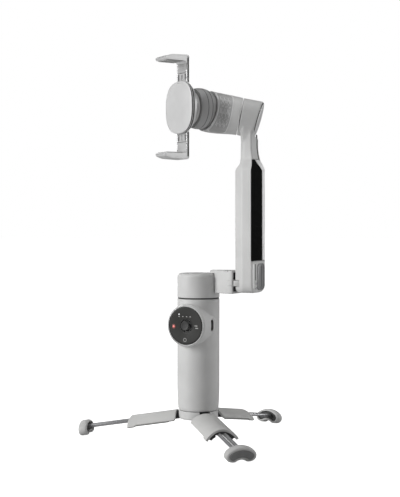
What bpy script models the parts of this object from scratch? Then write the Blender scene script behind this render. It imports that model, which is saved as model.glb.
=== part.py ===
"""Folding three-axis phone stabilizer with a built-in tripod.

The handle stands on the Z axis with the ground at Z = 0.  The control panel
faces -Y and the pan arm points along +X.  Every moving group hangs from an
empty that lies on its joint's axis.
"""

import math

import bmesh
import bpy
from mathutils import Matrix, Vector

MM = 0.001
GAP = 0.3 * MM
ROUND = 18
SMALL = 16
FINE = 32

# Centres the bounding box of the standing object on the origin
FRAME_SHIFT = Vector((9.45, -12.2, -0.7)) * MM

# Handle
HANDLE_R = 18.0 * MM
HANDLE_INNER_R = 16.2 * MM
HANDLE_Z0 = 25.7 * MM
HANDLE_Z1 = 120.2 * MM
GUIDE_R = 8.8 * MM
GUIDE_WALL = 1.1 * MM
GUIDE_TOP = 112.0 * MM

# Control panel
PANEL_Z = 98.5 * MM
PANEL_FLOOR = 20.2 * MM
PANEL_FRONT = 22.6 * MM
PANEL_R = 16.6 * MM
PANEL_SPACE_R = 5.2 * MM
STICK_DEPTH = 2.5 * MM

# Charging socket
SOCKET_ANGLE = math.radians(-26.0)
SOCKET_Z = 98.5 * MM

# Trigger
TRIGGER_PIVOT = Vector((0.0, 15.6 * MM, 109.6 * MM))
TRIGGER_WIDTH = 6.2 * MM

# Pan joint
PAN_Z0 = 121.3 * MM
PAN_Z1 = 141.7 * MM
PAN_BLOCK_END = 37.6 * MM
PAN_BLOCK_HALF = 10.3 * MM
PAN_BLOCK_ROOT = 2.6 * MM
PAN_BLOCK_Z = (125.4 * MM, 144.8 * MM)

# Arm
HINGE_Z = 134.4 * MM
LATCH_X = 38.4 * MM
LATCH_TRAVEL = 1.5 * MM
ARM_OUTER = 56.7 * MM
COVER_Y = 4.3 * MM
LATCH_LENGTH = 5.3 * MM
# Arm outline in millimetres: height, half width, outer x, widest x, inner x, inner half width
ARM_STATIONS = (
    (126.4, 6.2, 54.4, 44.0, 40.0, 4.0), (127.0, 8.4, 55.7, 45.4, 38.8, 5.4),
    (128.5, 10.7, 56.5, 46.6, 38.4, 6.6), (130.8, 12.3, 56.7, 47.0, 38.4, 7.4),
    (134.0, 13.0, 56.7, 47.0, 38.4, 7.6), (228.0, 13.0, 56.7, 47.0, 38.4, 7.6),
    (230.5, 12.0, 56.6, 47.0, 39.8, 7.4), (233.5, 9.9, 56.0, 46.8, 41.8, 6.6),
    (237.0, 7.9, 54.9, 46.4, 42.3, 5.8), (242.0, 7.2, 53.9, 46.0, 42.3, 5.3),
    (247.0, 7.1, 53.4, 46.0, 42.3, 5.2), (258.0, 7.1, 53.2, 46.0, 42.3, 5.2),
    (264.0, 6.8, 51.6, 45.6, 42.3, 5.0), (268.0, 5.4, 49.4, 45.0, 42.6, 4.4))
# Strips on the arm's outer face in millimetres: height, lowest y, highest y
POCKET_ROWS = ((152.6, -13.5, 11.9), (228.4, -13.5, 11.9), (233.2, -11.0, 9.2), (237.2, -9.0, 6.7))
GLASS_ROWS = ((153.2, -12.9, 6.6), (228.2, -12.9, 6.3), (233.0, -10.1, -0.6), (236.8, -7.8, -4.2))
TRIM_ROWS = ((153.2, 7.1, 11.6), (228.2, 6.8, 11.6), (233.0, 0.1, 8.9), (236.8, -3.7, 6.4))
NECK_X = 47.8 * MM
FLARE = ((248, 0.0), (252, 0.14), (256, 0.34), (260, 0.60), (264, 0.85), (268, 1.0))

# Head: the roll axis runs through both points
ROLL_SEAM = Vector((38.8, 1.6, 273.6)) * MM
TILT_CENTRE = Vector((7.9, -14.8, 280.2)) * MM
ROLL_R = 15.7 * MM
ROLL_DEPTH = 15.4 * MM
CAP_TILT = (math.radians(6.5), math.radians(-6.0))
BULB_R = 17.2 * MM
CUP_R = 19.2 * MM
CUP_PLANE = -8.5 * MM
CUP_LEAN = 0.19
FACE_ANGLE = math.radians(-120.0)

# Clamp, measured along the face normal from the tilt centre
DISC_BACK, DISC_FRONT = 6.3 * MM, 9.2 * MM
BASE_BACK, BASE_FRONT = 9.5 * MM, 16.1 * MM
PLATE_BACK, PLATE_FRONT = 16.4 * MM, 19.8 * MM
PLATE_HALF_X, PLATE_HALF_Y = 21.0 * MM, 21.6 * MM
PLATE_POWER = 2.6
STRAP_BACK, STRAP_FRONT = 13.8 * MM, 16.1 * MM
STRAP_HALF = 8.0 * MM
JAW_REST = 38.0 * MM
HOOK_TIP = 37.0 * MM

# Tripod
HUB_Z0, HUB_Z1 = 18.3 * MM, 25.4 * MM
HUB_R = 16.8 * MM
LEG_ANGLES = {"front": -43.0, "right": 77.0, "left": -163.0}
LEG_PIVOT_R = 12.5 * MM
LEG_PIVOT_Z = 21.5 * MM
LEG_SLOPE = math.radians(9.0)
SHELL_R = 16.8 * MM
SHELL_WALL = 2.2 * MM
SHELL_START, SHELL_END = 5.4 * MM, 48.0 * MM
SHELL_HALF_ANGLE = math.radians(54.0)
GUIDE_END = 41.0 * MM
FOOT_R, FOOT_INNER_R = 18.0 * MM, 7.6 * MM
FOOT_START, FOOT_END = 84.4 * MM, 92.0 * MM
FOOT_HALF_ANGLE = math.radians(57.0)
ROD_R = 1.5 * MM
ROD_OFFSET = 2.3 * MM

# Extension rod, three sliding stages
STAGE_RADII = (8.4 * MM, 7.2 * MM, 6.0 * MM)
STAGE_WALL = 0.8 * MM
STAGE_TOP = 110.0 * MM

COLOURS = {
    "body": ((0.62, 0.60, 0.57), 0.55, 0.0),
    "silver": ((0.58, 0.58, 0.58), 0.38, 0.6),
    "dark": ((0.045, 0.045, 0.043), 0.5, 0.0),
    "black": ((0.01, 0.01, 0.011), 0.12, 0.0),
    "chrome": ((0.82, 0.82, 0.82), 0.12, 1.0),
    "rubber": ((0.12, 0.12, 0.12), 0.85, 0.0),
    "grip": ((0.5, 0.5, 0.49), 0.8, 0.0),
    "copper": ((0.72, 0.38, 0.2), 0.4, 1.0),
    "steel": ((0.5, 0.5, 0.52), 0.3, 1.0),
    "board": ((0.02, 0.12, 0.06), 0.6, 0.0),
    "cell": ((0.08, 0.16, 0.3), 0.45, 0.0),
    "bulb": ((0.14, 0.14, 0.14), 0.45, 0.0),
}


# ---------------------------------------------------------------- helpers

def clear_scene():
    for item in list(bpy.data.objects):
        bpy.data.objects.remove(item, do_unlink=True)


def material(kind):
    found = bpy.data.materials.get(kind)
    if found:
        return found
    colour, roughness, metallic = COLOURS[kind]
    made = bpy.data.materials.new(kind)
    made.use_nodes = True
    shader = made.node_tree.nodes["Principled BSDF"]
    shader.inputs["Base Color"].default_value = (*colour, 1.0)
    shader.inputs["Roughness"].default_value = roughness
    shader.inputs["Metallic"].default_value = metallic
    return made


def frame_from(origin, z_axis, x_hint):
    """A frame at origin whose Z is z_axis and whose X is nearest to x_hint."""
    z = z_axis.normalized()
    x = (x_hint - z * x_hint.dot(z)).normalized()
    y = z.cross(x)
    rows = Matrix((x, y, z)).transposed().to_4x4()
    return Matrix.Translation(origin) @ rows


def joint_empty(name, frame, parent=None):
    empty = bpy.data.objects.new(name, None)
    empty.empty_display_size = 10 * MM
    bpy.context.scene.collection.objects.link(empty)
    empty.matrix_world = frame
    if parent:
        hang(empty, parent, frame)
    return empty


def hang(item, parent, world):
    bpy.context.view_layer.update()
    item.parent = parent
    item.matrix_parent_inverse = parent.matrix_world.inverted()
    item.matrix_world = world


def add_object(name, bm, kind, parent, frame=None):
    """Make a named object from bm, in its parent's frame unless one is given."""
    bmesh.ops.recalc_face_normals(bm, faces=bm.faces)
    mesh = bpy.data.meshes.new(name)
    bm.to_mesh(mesh)
    bm.free()
    mesh.materials.append(material(kind))
    mesh.shade_smooth()
    mesh.set_sharp_from_angle(angle=math.radians(32))
    item = bpy.data.objects.new(name, mesh)
    bpy.context.scene.collection.objects.link(item)
    bpy.context.view_layer.update()
    world = frame if frame is not None else parent.matrix_world.copy()
    item.matrix_world = world
    if parent:
        hang(item, parent, world)
    return item


def combine(item, operation, *tools):
    """Join or cut item with tool meshes given in item's own frame."""
    for tool in tools:
        bmesh.ops.recalc_face_normals(tool, faces=tool.faces)
        mesh = bpy.data.meshes.new("tool")
        tool.to_mesh(mesh)
        tool.free()
        cutter = bpy.data.objects.new("tool", mesh)
        bpy.context.scene.collection.objects.link(cutter)
        cutter.matrix_world = item.matrix_world.copy()
        step = item.modifiers.new("combine", "BOOLEAN")
        step.operation = operation
        step.object = cutter
        bpy.context.view_layer.update()
        graph = bpy.context.evaluated_depsgraph_get()
        result = bpy.data.meshes.new_from_object(item.evaluated_get(graph))
        item.modifiers.clear()
        kept = item.data.materials[0]
        item.data = result
        result.materials.clear()
        result.materials.append(kept)
        bpy.data.objects.remove(cutter, do_unlink=True)
    tidy_mesh(item.data)
    return item


def tidy_mesh(mesh):
    bm = bmesh.new()
    bm.from_mesh(mesh)
    bmesh.ops.dissolve_degenerate(bm, edges=bm.edges, dist=0.000001)
    bm.to_mesh(mesh)
    bm.free()
    mesh.shade_smooth()
    mesh.set_sharp_from_angle(angle=math.radians(32))


def revolve(profile, segments=ROUND):
    """Turn a closed (radius, height) outline about Z."""
    bm = bmesh.new()
    rings = []
    for radius, height in profile:
        if radius <= 0:
            rings.append([bm.verts.new((0, 0, height))])
            continue
        ring = []
        for i in range(segments):
            turn = 2 * math.pi * i / segments
            ring.append(bm.verts.new((radius * math.cos(turn), radius * math.sin(turn), height)))
        rings.append(ring)
    for a, b in zip(rings, rings[1:] + rings[:1]):
        bridge(bm, a, b, segments)
    return bm


def bridge(bm, a, b, segments):
    if len(a) == 1 and len(b) == 1:
        return
    for i in range(segments):
        j = (i + 1) % segments
        corners = [a[i % len(a)], a[j % len(a)], b[j % len(b)], b[i % len(b)]]
        unique = list(dict.fromkeys(corners))
        bm.faces.new(unique)


def ring_profile(inner, outer, low, high):
    return [(inner, low), (outer, low), (outer, high), (inner, high)]


def rod_profile(radius, low, high, chamfer=0.0):
    if chamfer <= 0:
        return [(0, low), (radius, low), (radius, high), (0, high)]
    return [(0, low), (radius - chamfer, low), (radius, low + chamfer),
            (radius, high - chamfer), (radius - chamfer, high), (0, high)]


def loft(sections):
    """Skin equal-length loops of points and close both ends."""
    bm = bmesh.new()
    loops = [[bm.verts.new(point) for point in section] for section in sections]
    count = len(loops[0])
    for a, b in zip(loops, loops[1:]):
        bridge(bm, a, b, count)
    bm.faces.new(loops[0])
    bm.faces.new(loops[-1])
    return bm


def prism(outline, low, high, place=None):
    """Extrude an outline of (x, y) points between two heights."""
    bm = loft([[(x, y, z) for x, y in outline] for z in (low, high)])
    if place is not None:
        bmesh.ops.transform(bm, matrix=place, verts=bm.verts)
    return bm


def box(low, high, bevel=0.0, segments=2):
    bm = bmesh.new()
    size = [b - a for a, b in zip(low, high)]
    middle = [(a + b) / 2 for a, b in zip(low, high)]
    shape = Matrix.Translation(middle) @ Matrix.Diagonal((*size, 1.0))
    bmesh.ops.create_cube(bm, size=1.0, matrix=shape)
    if bevel > 0:
        bmesh.ops.bevel(bm, geom=bm.edges[:], offset=bevel, segments=segments,
                        profile=0.5, affect="EDGES")
    return bm


def moved(bm, matrix):
    bmesh.ops.transform(bm, matrix=matrix, verts=bm.verts)
    return bm


def rounded_outline(half_x, half_y, radius, steps=3):
    """A rounded rectangle about the origin."""
    points = []
    for k, (sx, sy) in enumerate(((1, 1), (-1, 1), (-1, -1), (1, -1))):
        for i in range(steps + 1):
            turn = math.pi / 2 * (k + i / steps)
            points.append((sx * (half_x - radius) + radius * math.cos(turn),
                           sy * (half_y - radius) + radius * math.sin(turn)))
    return points


def along(axis_from, axis_to):
    """The rotation that takes Z to the direction between two points."""
    way = (axis_to - axis_from).normalized()
    return Matrix.Translation(axis_from) @ way.to_track_quat("Z", "Y").to_matrix().to_4x4()


def sector(inner, outer, half_angle, low, high, steps=10):
    """An arc-shaped bar about Z, centred on +X."""
    outline = []
    for i in range(steps + 1):
        turn = -half_angle + 2 * half_angle * i / steps
        outline.append((outer * math.cos(turn), outer * math.sin(turn)))
    for i in range(steps + 1):
        turn = half_angle - 2 * half_angle * i / steps
        outline.append((inner * math.cos(turn), inner * math.sin(turn)))
    return prism(outline, low, high)


# ---------------------------------------------------------------- handle

def handle_profile():
    """The handle's wall with the rod's guide tube inside it."""
    floor = HANDLE_Z0 + 2.4 * MM
    tube = GUIDE_R + GUIDE_WALL
    return [(GUIDE_R, HANDLE_Z0), (HANDLE_R - 1.3 * MM, HANDLE_Z0), (HANDLE_R - 0.6 * MM, HANDLE_Z0 + 0.7 * MM),
            (HANDLE_R, HANDLE_Z0 + 14 * MM), (HANDLE_R, HANDLE_Z1 - 0.5 * MM), (HANDLE_R - 0.5 * MM, HANDLE_Z1),
            (HANDLE_INNER_R, HANDLE_Z1), (HANDLE_INNER_R, floor), (tube, floor), (tube, GUIDE_TOP),
            (GUIDE_R, GUIDE_TOP)]


def build_handle(root):
    shell = add_object("handle_shell", revolve(handle_profile(), FINE), "body", root)
    facing = panel_matrix()
    front = PANEL_FRONT - PANEL_FLOOR
    seat = PANEL_R + GAP
    boss = [(0, -16 * MM), (17.9 * MM, -16 * MM), (17.9 * MM, 1.7 * MM), (17.3 * MM, front), (seat, front),
            (seat, 0), (0, 0)]
    pad = prism(rounded_outline(7.4 * MM, 3.6 * MM, 3.5 * MM), HANDLE_R - 1.5 * MM, HANDLE_R + 0.5 * MM)
    combine(shell, "UNION", moved(revolve(boss, FINE), facing), moved(pad, socket_matrix()))
    low = PANEL_Z - 24 * MM
    tube = GUIDE_R + GUIDE_WALL + GAP
    wall = HANDLE_INNER_R - 0.05 * MM
    room = [(tube, low), (wall, low), (wall, HANDLE_Z1 - MM), (0, HANDLE_Z1 - MM),
            (0, GUIDE_TOP + 0.2 * MM), (tube, GUIDE_TOP + 0.2 * MM)]
    bore = rod_profile(GUIDE_R - 0.02 * MM, low, GUIDE_TOP + 0.5 * MM)
    stick_hole = rod_profile(5.4 * MM, -6 * MM, MM)
    socket_hole = prism(rounded_outline(4.75 * MM, 1.85 * MM, 1.8 * MM), 12 * MM, 24 * MM)
    trigger_hole = box((-3.5 * MM, 10.5 * MM, 93.4 * MM), (3.5 * MM, 24 * MM, 112.6 * MM))
    combine(shell, "DIFFERENCE", revolve(room, FINE), revolve(bore, FINE), moved(revolve(stick_hole), facing),
            moved(socket_hole, socket_matrix()), trigger_hole)
    return shell


def panel_matrix():
    """Frame on the panel floor: Z points out of the panel, Y points up."""
    return frame_from(Vector((0, -PANEL_FLOOR, PANEL_Z)), Vector((0, -1, 0)), Vector((1, 0, 0)))


def socket_matrix():
    """Frame on the handle's axis: Z points out through the socket, X points up."""
    out = Vector((math.cos(SOCKET_ANGLE), math.sin(SOCKET_ANGLE), 0))
    return frame_from(Vector((0, 0, SOCKET_Z)), out, Vector((0, 0, 1)))


def build_inner_parts(root):
    cell = sector(10.4 * MM, 15.8 * MM, math.radians(68), 30 * MM, 90 * MM, 12)
    turned = moved(cell, Matrix.Rotation(math.radians(90), 4, "Z"))
    add_object("battery_cell", turned, "cell", root)
    board = box((-9.3 * MM, -12.2 * MM, 36 * MM), (9.3 * MM, -11.0 * MM, 114 * MM))
    add_object("main_board", board, "board", root)
    tube = prism(rounded_outline(4.4 * MM, 1.5 * MM, 1.45 * MM), 10.6 * MM, 17.9 * MM)
    port = add_object("usb_port", tube, "steel", root, socket_matrix())
    mouth = prism(rounded_outline(4.0 * MM, 1.1 * MM, 1.05 * MM), 12 * MM, 19 * MM)
    combine(port, "DIFFERENCE", mouth)


def build_panel(root):
    facing = panel_matrix()
    rim = ring_profile(PANEL_R - 0.5 * MM, PANEL_R, GAP, PANEL_FRONT - PANEL_FLOOR + 0.2 * MM)
    add_object("panel_rim", revolve(rim, FINE), "chrome", root, facing)
    press = joint_empty("joint_control_ring", facing, root)
    edge = PANEL_R - 0.85 * MM
    face = [(PANEL_SPACE_R, 0.7 * MM), (edge, 0.7 * MM), (edge, 2.2 * MM),
            (edge - 0.6 * MM, 2.4 * MM), (6.2 * MM, 1.9 * MM), (PANEL_SPACE_R, 1.7 * MM)]
    add_object("control_ring", revolve(face, FINE), "dark", press)
    build_joystick(root, facing)


def build_joystick(root, facing):
    centre = facing @ Matrix.Translation((0, 0, -STICK_DEPTH))
    side = joint_empty("joint_joystick_side", centre, root)
    ring = add_object("joystick_yoke", revolve(ring_profile(2.5 * MM, 3.4 * MM, -0.8 * MM, 0.8 * MM), SMALL),
                      "steel", side)
    for turn in (0, math.pi):
        pin = moved(revolve(rod_profile(0.45 * MM, 3.0 * MM, 4.9 * MM), 12),
                    Matrix.Rotation(turn, 4, "Z") @ Matrix.Rotation(math.pi / 2, 4, "Y"))
        combine(ring, "UNION", pin)
    tilt = joint_empty("joint_joystick_tilt", centre, side)
    base = STICK_DEPTH
    stick = [(0, -1.2 * MM), (1.3 * MM, -1.2 * MM), (1.3 * MM, base + 2.9 * MM), (3.5 * MM, base + 3.0 * MM),
             (3.9 * MM, base + 3.4 * MM), (3.9 * MM, base + 3.9 * MM), (3.4 * MM, base + 4.3 * MM),
             (2.2 * MM, base + 4.0 * MM), (0, base + 3.8 * MM)]
    add_object("joystick_cap", revolve(stick, SMALL), "dark", tilt)


def build_trigger(root):
    pivot = joint_empty("joint_trigger", Matrix.Translation(TRIGGER_PIVOT), root)
    side = [(-1.6, 1.4), (1.2, 1.9), (3.4, 0.2), (5.0, -4.0), (6.0, -9.0), (5.6, -13.2), (3.6, -15.2),
            (1.6, -13.6), (0.2, -7.0), (-1.6, -2.0)]
    half = TRIGGER_WIDTH / 2
    outline = [(y * MM, z * MM) for y, z in side]
    lever = loft([[(x, y, z) for y, z in outline] for x in (-half, half)])
    bmesh.ops.bevel(lever, geom=lever.edges[:], offset=0.4 * MM, segments=1, affect="EDGES")
    trigger = add_object("trigger", lever, "body", pivot)
    pin_hole = moved(revolve(rod_profile(0.9 * MM, -9 * MM, 9 * MM), 12), Matrix.Rotation(math.pi / 2, 4, "Y"))
    combine(trigger, "DIFFERENCE", pin_hole)
    pin = moved(revolve(rod_profile(0.6 * MM, -3.2 * MM, 3.2 * MM), 12), Matrix.Rotation(math.pi / 2, 4, "Y"))
    add_object("trigger_pin", pin, "steel", root, Matrix.Translation(TRIGGER_PIVOT))


# ---------------------------------------------------------------- pan joint

def build_pan(root):
    stator = [(0, 114 * MM), (15.8 * MM, 114 * MM), (15.8 * MM, 120.5 * MM), (17.6 * MM, 120.5 * MM),
              (17.6 * MM, 121.0 * MM), (4.6 * MM, 121.0 * MM), (4.6 * MM, 134 * MM), (0, 134 * MM)]
    add_object("pan_stator", revolve(stator, FINE), "dark", root)
    coil = ring_profile(4.9 * MM, 12 * MM, 121.6 * MM, 129 * MM)
    add_object("pan_coil", revolve(coil), "copper", root)
    axis = joint_empty("joint_pan", Matrix.Identity(4), root)
    bearing = ring_profile(5.0 * MM, 8.2 * MM, 130 * MM, 133.4 * MM)
    add_object("pan_bearing", revolve(bearing), "steel", axis)
    magnets = ring_profile(12.8 * MM, 15.4 * MM, 122 * MM, 129 * MM)
    add_object("pan_magnet_ring", revolve(magnets), "steel", axis)
    cap = [(15.8 * MM, PAN_Z0), (HANDLE_R - 0.4 * MM, PAN_Z0), (HANDLE_R, PAN_Z0 + 0.4 * MM),
           (HANDLE_R, PAN_Z1 - 2.4 * MM), (HANDLE_R - 0.7 * MM, PAN_Z1 - 0.8 * MM),
           (HANDLE_R - 2.2 * MM, PAN_Z1), (0, PAN_Z1), (0, PAN_Z1 - 2 * MM), (8.5 * MM, PAN_Z1 - 2 * MM),
           (8.5 * MM, PAN_Z1 - 8 * MM), (15.8 * MM, PAN_Z1 - 8 * MM)]
    add_object("pan_cap", revolve(cap, FINE), "body", axis)
    return axis


def build_pan_arm(axis):
    low, high = PAN_BLOCK_Z
    plan = [(12 * MM, -PAN_BLOCK_ROOT), (PAN_BLOCK_END - 4 * MM, -PAN_BLOCK_HALF), (PAN_BLOCK_END, -PAN_BLOCK_HALF),
            (PAN_BLOCK_END, PAN_BLOCK_HALF), (PAN_BLOCK_END - 4 * MM, PAN_BLOCK_HALF), (12 * MM, PAN_BLOCK_ROOT)]
    block = prism(plan, low, high)
    bmesh.ops.recalc_face_normals(block, faces=block.faces)
    bmesh.ops.bevel(block, geom=sharp_edges(block), offset=1.6 * MM, segments=3, profile=0.5, affect="EDGES")
    arm = add_object("pan_arm", block, "body", axis)
    around_cap = revolve(rod_profile(HANDLE_R + GAP, low - 5 * MM, PAN_Z1 + GAP), FINE)
    pin_hole = moved(revolve(rod_profile(2.8 * MM, 29.7 * MM, 50 * MM), SMALL), hinge_turn())
    keeper = box((32.6 * MM, -PAN_BLOCK_HALF - 0.5 * MM, HINGE_Z - 2.3 * MM),
                 (PAN_BLOCK_END - 0.2 * MM, -PAN_BLOCK_HALF + 3 * MM, HINGE_Z + 2.3 * MM), 0.3 * MM, 1)
    combine(arm, "DIFFERENCE", around_cap, pin_hole)
    combine(arm, "UNION", keeper)
    pin = moved(revolve(rod_profile(2.5 * MM, 30.0 * MM, 46 * MM, 0.4 * MM), SMALL), hinge_turn())
    add_object("hinge_pin", pin, "steel", axis)


def hinge_turn():
    """Takes Z to the fold hinge's axis, which runs along +X at the hinge's height."""
    return Matrix.Translation((0, 0, HINGE_Z)) @ Matrix.Rotation(math.pi / 2, 4, "Y")


# ---------------------------------------------------------------- arm

def arm_section(height, half, outer, side, inner, inner_half):
    edge = 0.8 * MM
    points = [(outer, half - edge), (outer - edge, half), (side, half),
              (inner + 0.5 * MM, inner_half + 0.6 * MM), (inner, inner_half)]
    mirror = [(x, -y) for x, y in reversed(points)]
    return [(x, y, height) for x, y in points + mirror]


def build_arm(pan_axis):
    fold = joint_empty("joint_fold", Matrix.Translation((0, 0, HINGE_Z)), pan_axis)
    here = Matrix.Identity(4)
    sections = [arm_section(*(value * MM for value in row)) for row in ARM_STATIONS]
    frame = add_object("arm_frame", loft(sections), "body", fold, here)
    combine(frame, "UNION", neck_flare(), moved(roll_drum(), roll_frame()))
    pin_hole = moved(revolve(rod_profile(2.8 * MM, 30 * MM, 46.3 * MM), SMALL), hinge_turn())
    pocket = face_strip(POCKET_ROWS, 1.1 * MM, 3 * MM)
    lower = cover_slab(7.6 * MM, 128.6 * MM, 150.8 * MM, 4.1 * MM, 0.9 * MM, 3 * MM)
    latch_slot = box((30 * MM, -14 * MM, HINGE_Z - 2.6 * MM),
                     (LATCH_X + LATCH_LENGTH + GAP, -6.6 * MM + LATCH_TRAVEL, HINGE_Z + 2.6 * MM))
    combine(frame, "DIFFERENCE", pin_hole, pocket, lower, latch_slot, *roll_cuts())
    add_object("arm_inlay", face_strip(GLASS_ROWS, 0.8 * MM, 0.1 * MM), "black", fold, here)
    add_object("arm_trim", face_strip(TRIM_ROWS, 0.8 * MM, 0.2 * MM), "chrome", fold, here)
    cover = cover_slab(7.3 * MM, 128.9 * MM, 150.5 * MM, 3.8 * MM, 0.6 * MM, 0.3 * MM)
    add_object("hinge_cover", cover, "silver", fold, here)
    build_latch(fold)
    return fold


def arm_outer(height):
    """The outer face's x at a height in millimetres."""
    for low, high in zip(ARM_STATIONS, ARM_STATIONS[1:]):
        if low[0] <= height <= high[0]:
            share = (height - low[0]) / (high[0] - low[0])
            return (low[2] + (high[2] - low[2]) * share) * MM
    return ARM_OUTER


def face_strip(rows, inward, outward):
    """A strip that follows the arm's outer face, from rows of height, lowest y and highest y."""
    sections = []
    for height, first, last in rows:
        x = arm_outer(height)
        corners = ((x - inward, first), (x - inward, last), (x + outward, last), (x + outward, first))
        sections.append([(cx, cy * MM, height * MM) for cx, cy in corners])
    return loft(sections)


def cover_slab(half, low, high, radius, inward, outward):
    """A rounded slab over the hinge, on the arm's outer face."""
    turn = Matrix(((0, 0, 1, ARM_OUTER), (1, 0, 0, COVER_Y), (0, 1, 0, (low + high) / 2), (0, 0, 0, 1)))
    return prism(rounded_outline(half, (high - low) / 2, radius), -inward, outward, turn)


def build_latch(fold):
    """The release button beside the fold hinge, which is pressed into the arm."""
    place = Matrix.Translation((LATCH_X, -8.6 * MM, HINGE_Z))
    slide = joint_empty("joint_latch", place, fold)
    body = box((0, -2.1 * MM, -2.3 * MM), (LATCH_LENGTH, 1.7 * MM, 2.3 * MM), 0.5 * MM, 2)
    add_object("arm_latch", body, "body", slide)


# ---------------------------------------------------------------- head

def roll_frame():
    return frame_from(ROLL_SEAM, TILT_CENTRE - ROLL_SEAM, Vector((0, 0, -1)))


def face_frame(offset=0.0):
    """Frame at the tilt centre: Z is the face normal, Y points up."""
    normal = Vector((math.cos(FACE_ANGLE), math.sin(FACE_ANGLE), 0))
    side = Vector((0, 0, 1)).cross(-normal)
    return frame_from(TILT_CENTRE + normal * offset, normal, -side)


def roll_drum():
    """The round housing at the arm's top, in the roll frame; roll_cuts() trims its far end."""
    return revolve([(0, -18.8 * MM), (ROLL_R, -18.8 * MM), (ROLL_R, -0.6 * MM), (ROLL_R - 0.3 * MM, -GAP), (0, -GAP)],
                   FINE)


def cap_frame():
    """Frame on the housing's far end, which leans a little from the roll axis."""
    return roll_frame() @ Matrix.Translation((0, 0, -ROLL_DEPTH)) @ (
        Matrix.Rotation(CAP_TILT[0], 4, "X") @ Matrix.Rotation(CAP_TILT[1], 4, "Y"))


def neck_flare():
    """Rings that widen from the arm's neck to the sides of the roll housing."""
    roll = roll_frame()
    centre = roll @ Vector((0, 0, -ROLL_DEPTH / 2))
    along_axis = Vector((roll.col[2].x, roll.col[2].y, 0)).normalized()
    rings = []
    for height, share in FLARE:
        middle = Vector((NECK_X, 0, 0)).lerp(Vector((centre.x, centre.y, 0)), share)
        middle.z = height * MM
        first = Vector((1, 0, 0)).lerp(-along_axis, share).normalized()
        second = Vector((0, 0, 1)).cross(first)
        outline = rounded_outline((4.9 + 1.8 * share) * MM, (6.7 + 7.3 * share) * MM, 3.0 * MM, 2)
        rings.append([middle + first * x + second * y for x, y in outline])
    return loft(rings)


def roll_cuts():
    """Cutters that open the housing for its motor and level its seam and cap seat."""
    frame = roll_frame()
    beyond = box((-30 * MM, -30 * MM, -GAP / 2), (30 * MM, 30 * MM, 20 * MM))
    cavity = revolve(rod_profile(12.4 * MM, -11.0 * MM, 3 * MM), FINE)
    behind = revolve(rod_profile(ROLL_R + 0.6 * MM, -14 * MM, 0), FINE)
    return [moved(beyond, frame), moved(cavity, frame), moved(behind, cap_frame())]


def build_roll_motor(fold):
    frame = roll_frame()
    cap = [(0, -1.6 * MM), (9 * MM, -1.5 * MM), (13.8 * MM, -1.0 * MM), (14.4 * MM, -GAP), (0, -GAP)]
    add_object("roll_end_cap", revolve(cap, FINE), "body", fold, cap_frame())
    coil = ring_profile(4.4 * MM, 11.6 * MM, -8.9 * MM, -3.4 * MM)
    add_object("roll_coil", revolve(coil), "copper", fold, frame)
    bearing = ring_profile(3.4 * MM, 6.4 * MM, -3.0 * MM, -0.7 * MM)
    add_object("roll_bearing", revolve(bearing), "steel", fold, frame)


def barrel_sections(steps=5):
    """Circles that swing from the roll seam to the cup's open edge."""
    roll = roll_frame()
    face = face_frame()
    first = roll.col[2].xyz
    last = (face.col[2].xyz + Vector((0, 0, CUP_LEAN))).normalized()
    start = roll.translation + first * GAP
    end = face.translation + last * CUP_PLANE
    edge_r = math.sqrt(CUP_R ** 2 - CUP_PLANE ** 2)
    sections = []
    for i in range(steps + 1):
        t = i / steps
        normal = first.slerp(last, t)
        centre = hermite(start, end, first, last, (end - start).length, t)
        radius = ROLL_R + (edge_r - ROLL_R) * (3 * t * t - 2 * t ** 3) + 0.4 * MM * math.sin(math.pi * t)
        place = frame_from(centre, normal, Vector((0, 0, -1)))
        ring = []
        for k in range(FINE):
            turn = 2 * math.pi * k / FINE
            ring.append(place @ Vector((radius * math.cos(turn), radius * math.sin(turn), 0)))
        sections.append(ring)
    return sections


def hermite(start, end, start_way, end_way, pull, t):
    a = 2 * t ** 3 - 3 * t ** 2 + 1
    b = t ** 3 - 2 * t ** 2 + t
    c = -2 * t ** 3 + 3 * t ** 2
    d = t ** 3 - t ** 2
    return start * a + start_way * (pull * b) + end * c + end_way * (pull * d)


def build_barrel(fold):
    frame = roll_frame()
    roll = joint_empty("joint_roll", frame, fold)
    back = frame.inverted()
    sections = [[back @ point for point in ring] for ring in barrel_sections()]
    barrel = add_object("barrel", loft(sections), "body", roll)
    reach = (TILT_CENTRE - ROLL_SEAM).length
    ball = ball_profile(BULB_R + GAP, -BULB_R - GAP, BULB_R + GAP, 16)
    combine(barrel, "DIFFERENCE", moved(revolve(ball, FINE), Matrix.Translation((0, 0, reach))))
    shaft = rod_profile(3.0 * MM, -8.4 * MM, 2 * MM)
    combine(barrel, "UNION", revolve(shaft, SMALL))
    magnet = ring_profile(7.4 * MM, 11.4 * MM, -2.9 * MM, -0.2 * MM)
    add_object("roll_magnet_ring", revolve(magnet), "steel", roll)
    return roll


def ball_profile(radius, low, high, steps):
    """Half outline of a ball cut by two planes."""
    start = math.asin(max(-1.0, low / radius))
    stop = math.asin(min(1.0, high / radius))
    points = []
    for i in range(steps + 1):
        lat = start + (stop - start) * i / steps
        points.append((radius * math.cos(lat), radius * math.sin(lat)))
    if points[0][0] > 1e-7:
        points.insert(0, (0, points[0][1]))
    else:
        points[0] = (0, low)
    if points[-1][0] > 1e-7:
        points.append((0, points[-1][1]))
    else:
        points[-1] = (0, high)
    return points


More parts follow.
